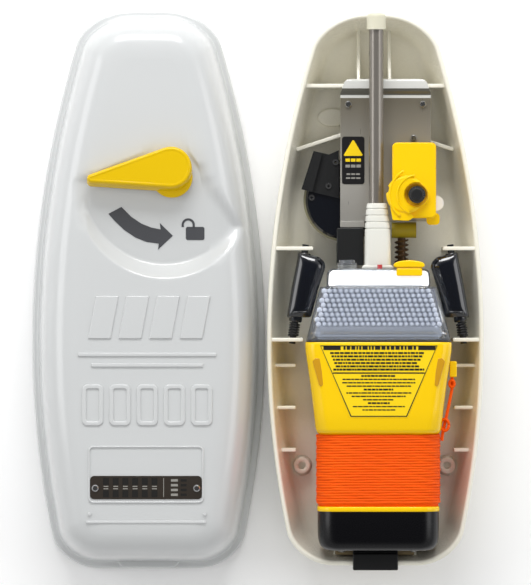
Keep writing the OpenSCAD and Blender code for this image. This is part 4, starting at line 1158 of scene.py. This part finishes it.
triangle = moved([(-6.6, -14.6), (6.6, -14.6), (7.1, -13.8), (0.5, -2.8), (-0.5, -2.8), (-7.1, -13.8)], 0,
                 ly1)
onLabel("stickerTriangle", triangle, "labelYellow")
for i, (w, y, h) in enumerate(((6.2, 19, 2.4), (6.2, 23.4, 2.2), (5.4, 29, 1.2), (5.8, 32, 1.2))):
    for k in range(3):
        x0 = -w + 2 * w * k / 3 + 0.35
        onLabel(f"stickerBar{i}{k}", rectangle(x0, ly1 - y, x0 + 2 * w / 3 - 0.7, ly1 - y + h),
                "labelYellow" if i < 1 else "inkPale")
print("labels ready")


# Floor, lights and colour
floorMesh = bpy.data.meshes.new("floor")
floorSet = {"half": 6, "height": -0.0005}
corners = rectangle(-floorSet["half"], -floorSet["half"], floorSet["half"], floorSet["half"])
floorMesh.from_pydata([(x, y, floorSet["height"]) for x, y in corners], [], [(0, 1, 2, 3)])
floor = bpy.data.objects.new("floor", floorMesh)
bpy.context.scene.collection.objects.link(floor)
paleFloor = moulded("paleFloor", (255, 255, 255), (252, 252, 252), rough=0.9, grain=40, bump=0.0,
                    specular=0.1)
floorMesh.materials.append(paleFloor)

lightSet = {"horizon": 0.6, "zenith": 0.06, "overhead": 18, "back": 27, "left": 4.4, "right": 3.4}


def softLight(name, power, size, place, aim=(-0.08, 0, 0.03), tall=None, shine=True):
    data = bpy.data.lights.new(name, "AREA")
    data.energy = power
    data.shape = "RECTANGLE"
    data.size = size
    data.size_y = tall or size
    light = bpy.data.objects.new(name, data)
    light.location = place
    light.rotation_euler = (Vector(aim) - Vector(place)).to_track_quat("-Z", "Y").to_euler()
    light.visible_glossy = shine
    light.visible_camera = False
    bpy.context.scene.collection.objects.link(light)
    return light


# a broad overhead fill that leaves no glare on flat faces, then softboxes behind and at the sides
softLight("overheadFill", lightSet["overhead"], 2.6, (-0.08, -0.05, 2.4), shine=False)
softLight("backLight", lightSet["back"], 1.3, (-0.15, 1.6, 1.05), tall=0.6)
softLight("leftLight", lightSet["left"], 0.9, (-1.35, 0.2, 0.9), tall=0.7)
softLight("rightLight", lightSet["right"], 0.9, (1.2, 0.1, 0.9), tall=0.7)
world = bpy.data.worlds.new("studio")
bpy.context.scene.world = world
world.use_nodes = True
skyNodes, skyLinks = world.node_tree.nodes, world.node_tree.links
skyPlace = skyNodes.new("ShaderNodeTexCoord")
skySplit = skyNodes.new("ShaderNodeSeparateXYZ")
skyFade = skyNodes.new("ShaderNodeMapRange")
skyFade.interpolation_type = "SMOOTHSTEP"
skyFade.inputs["From Min"].default_value = 0.55
skyFade.inputs["From Max"].default_value = 0.93
skyFade.inputs["To Min"].default_value = lightSet["horizon"]
skyFade.inputs["To Max"].default_value = lightSet["zenith"]
skyLinks.new(skyPlace.outputs["Generated"], skySplit.inputs["Vector"])
skyLinks.new(skySplit.outputs["Z"], skyFade.inputs["Value"])
skyLinks.new(skyFade.outputs["Result"], skyNodes["Background"].inputs["Strength"])
skyNodes["Background"].inputs["Color"].default_value = (1, 1, 1, 1)
bpy.context.scene.view_settings.view_transform = "Standard"
print("lights ready")
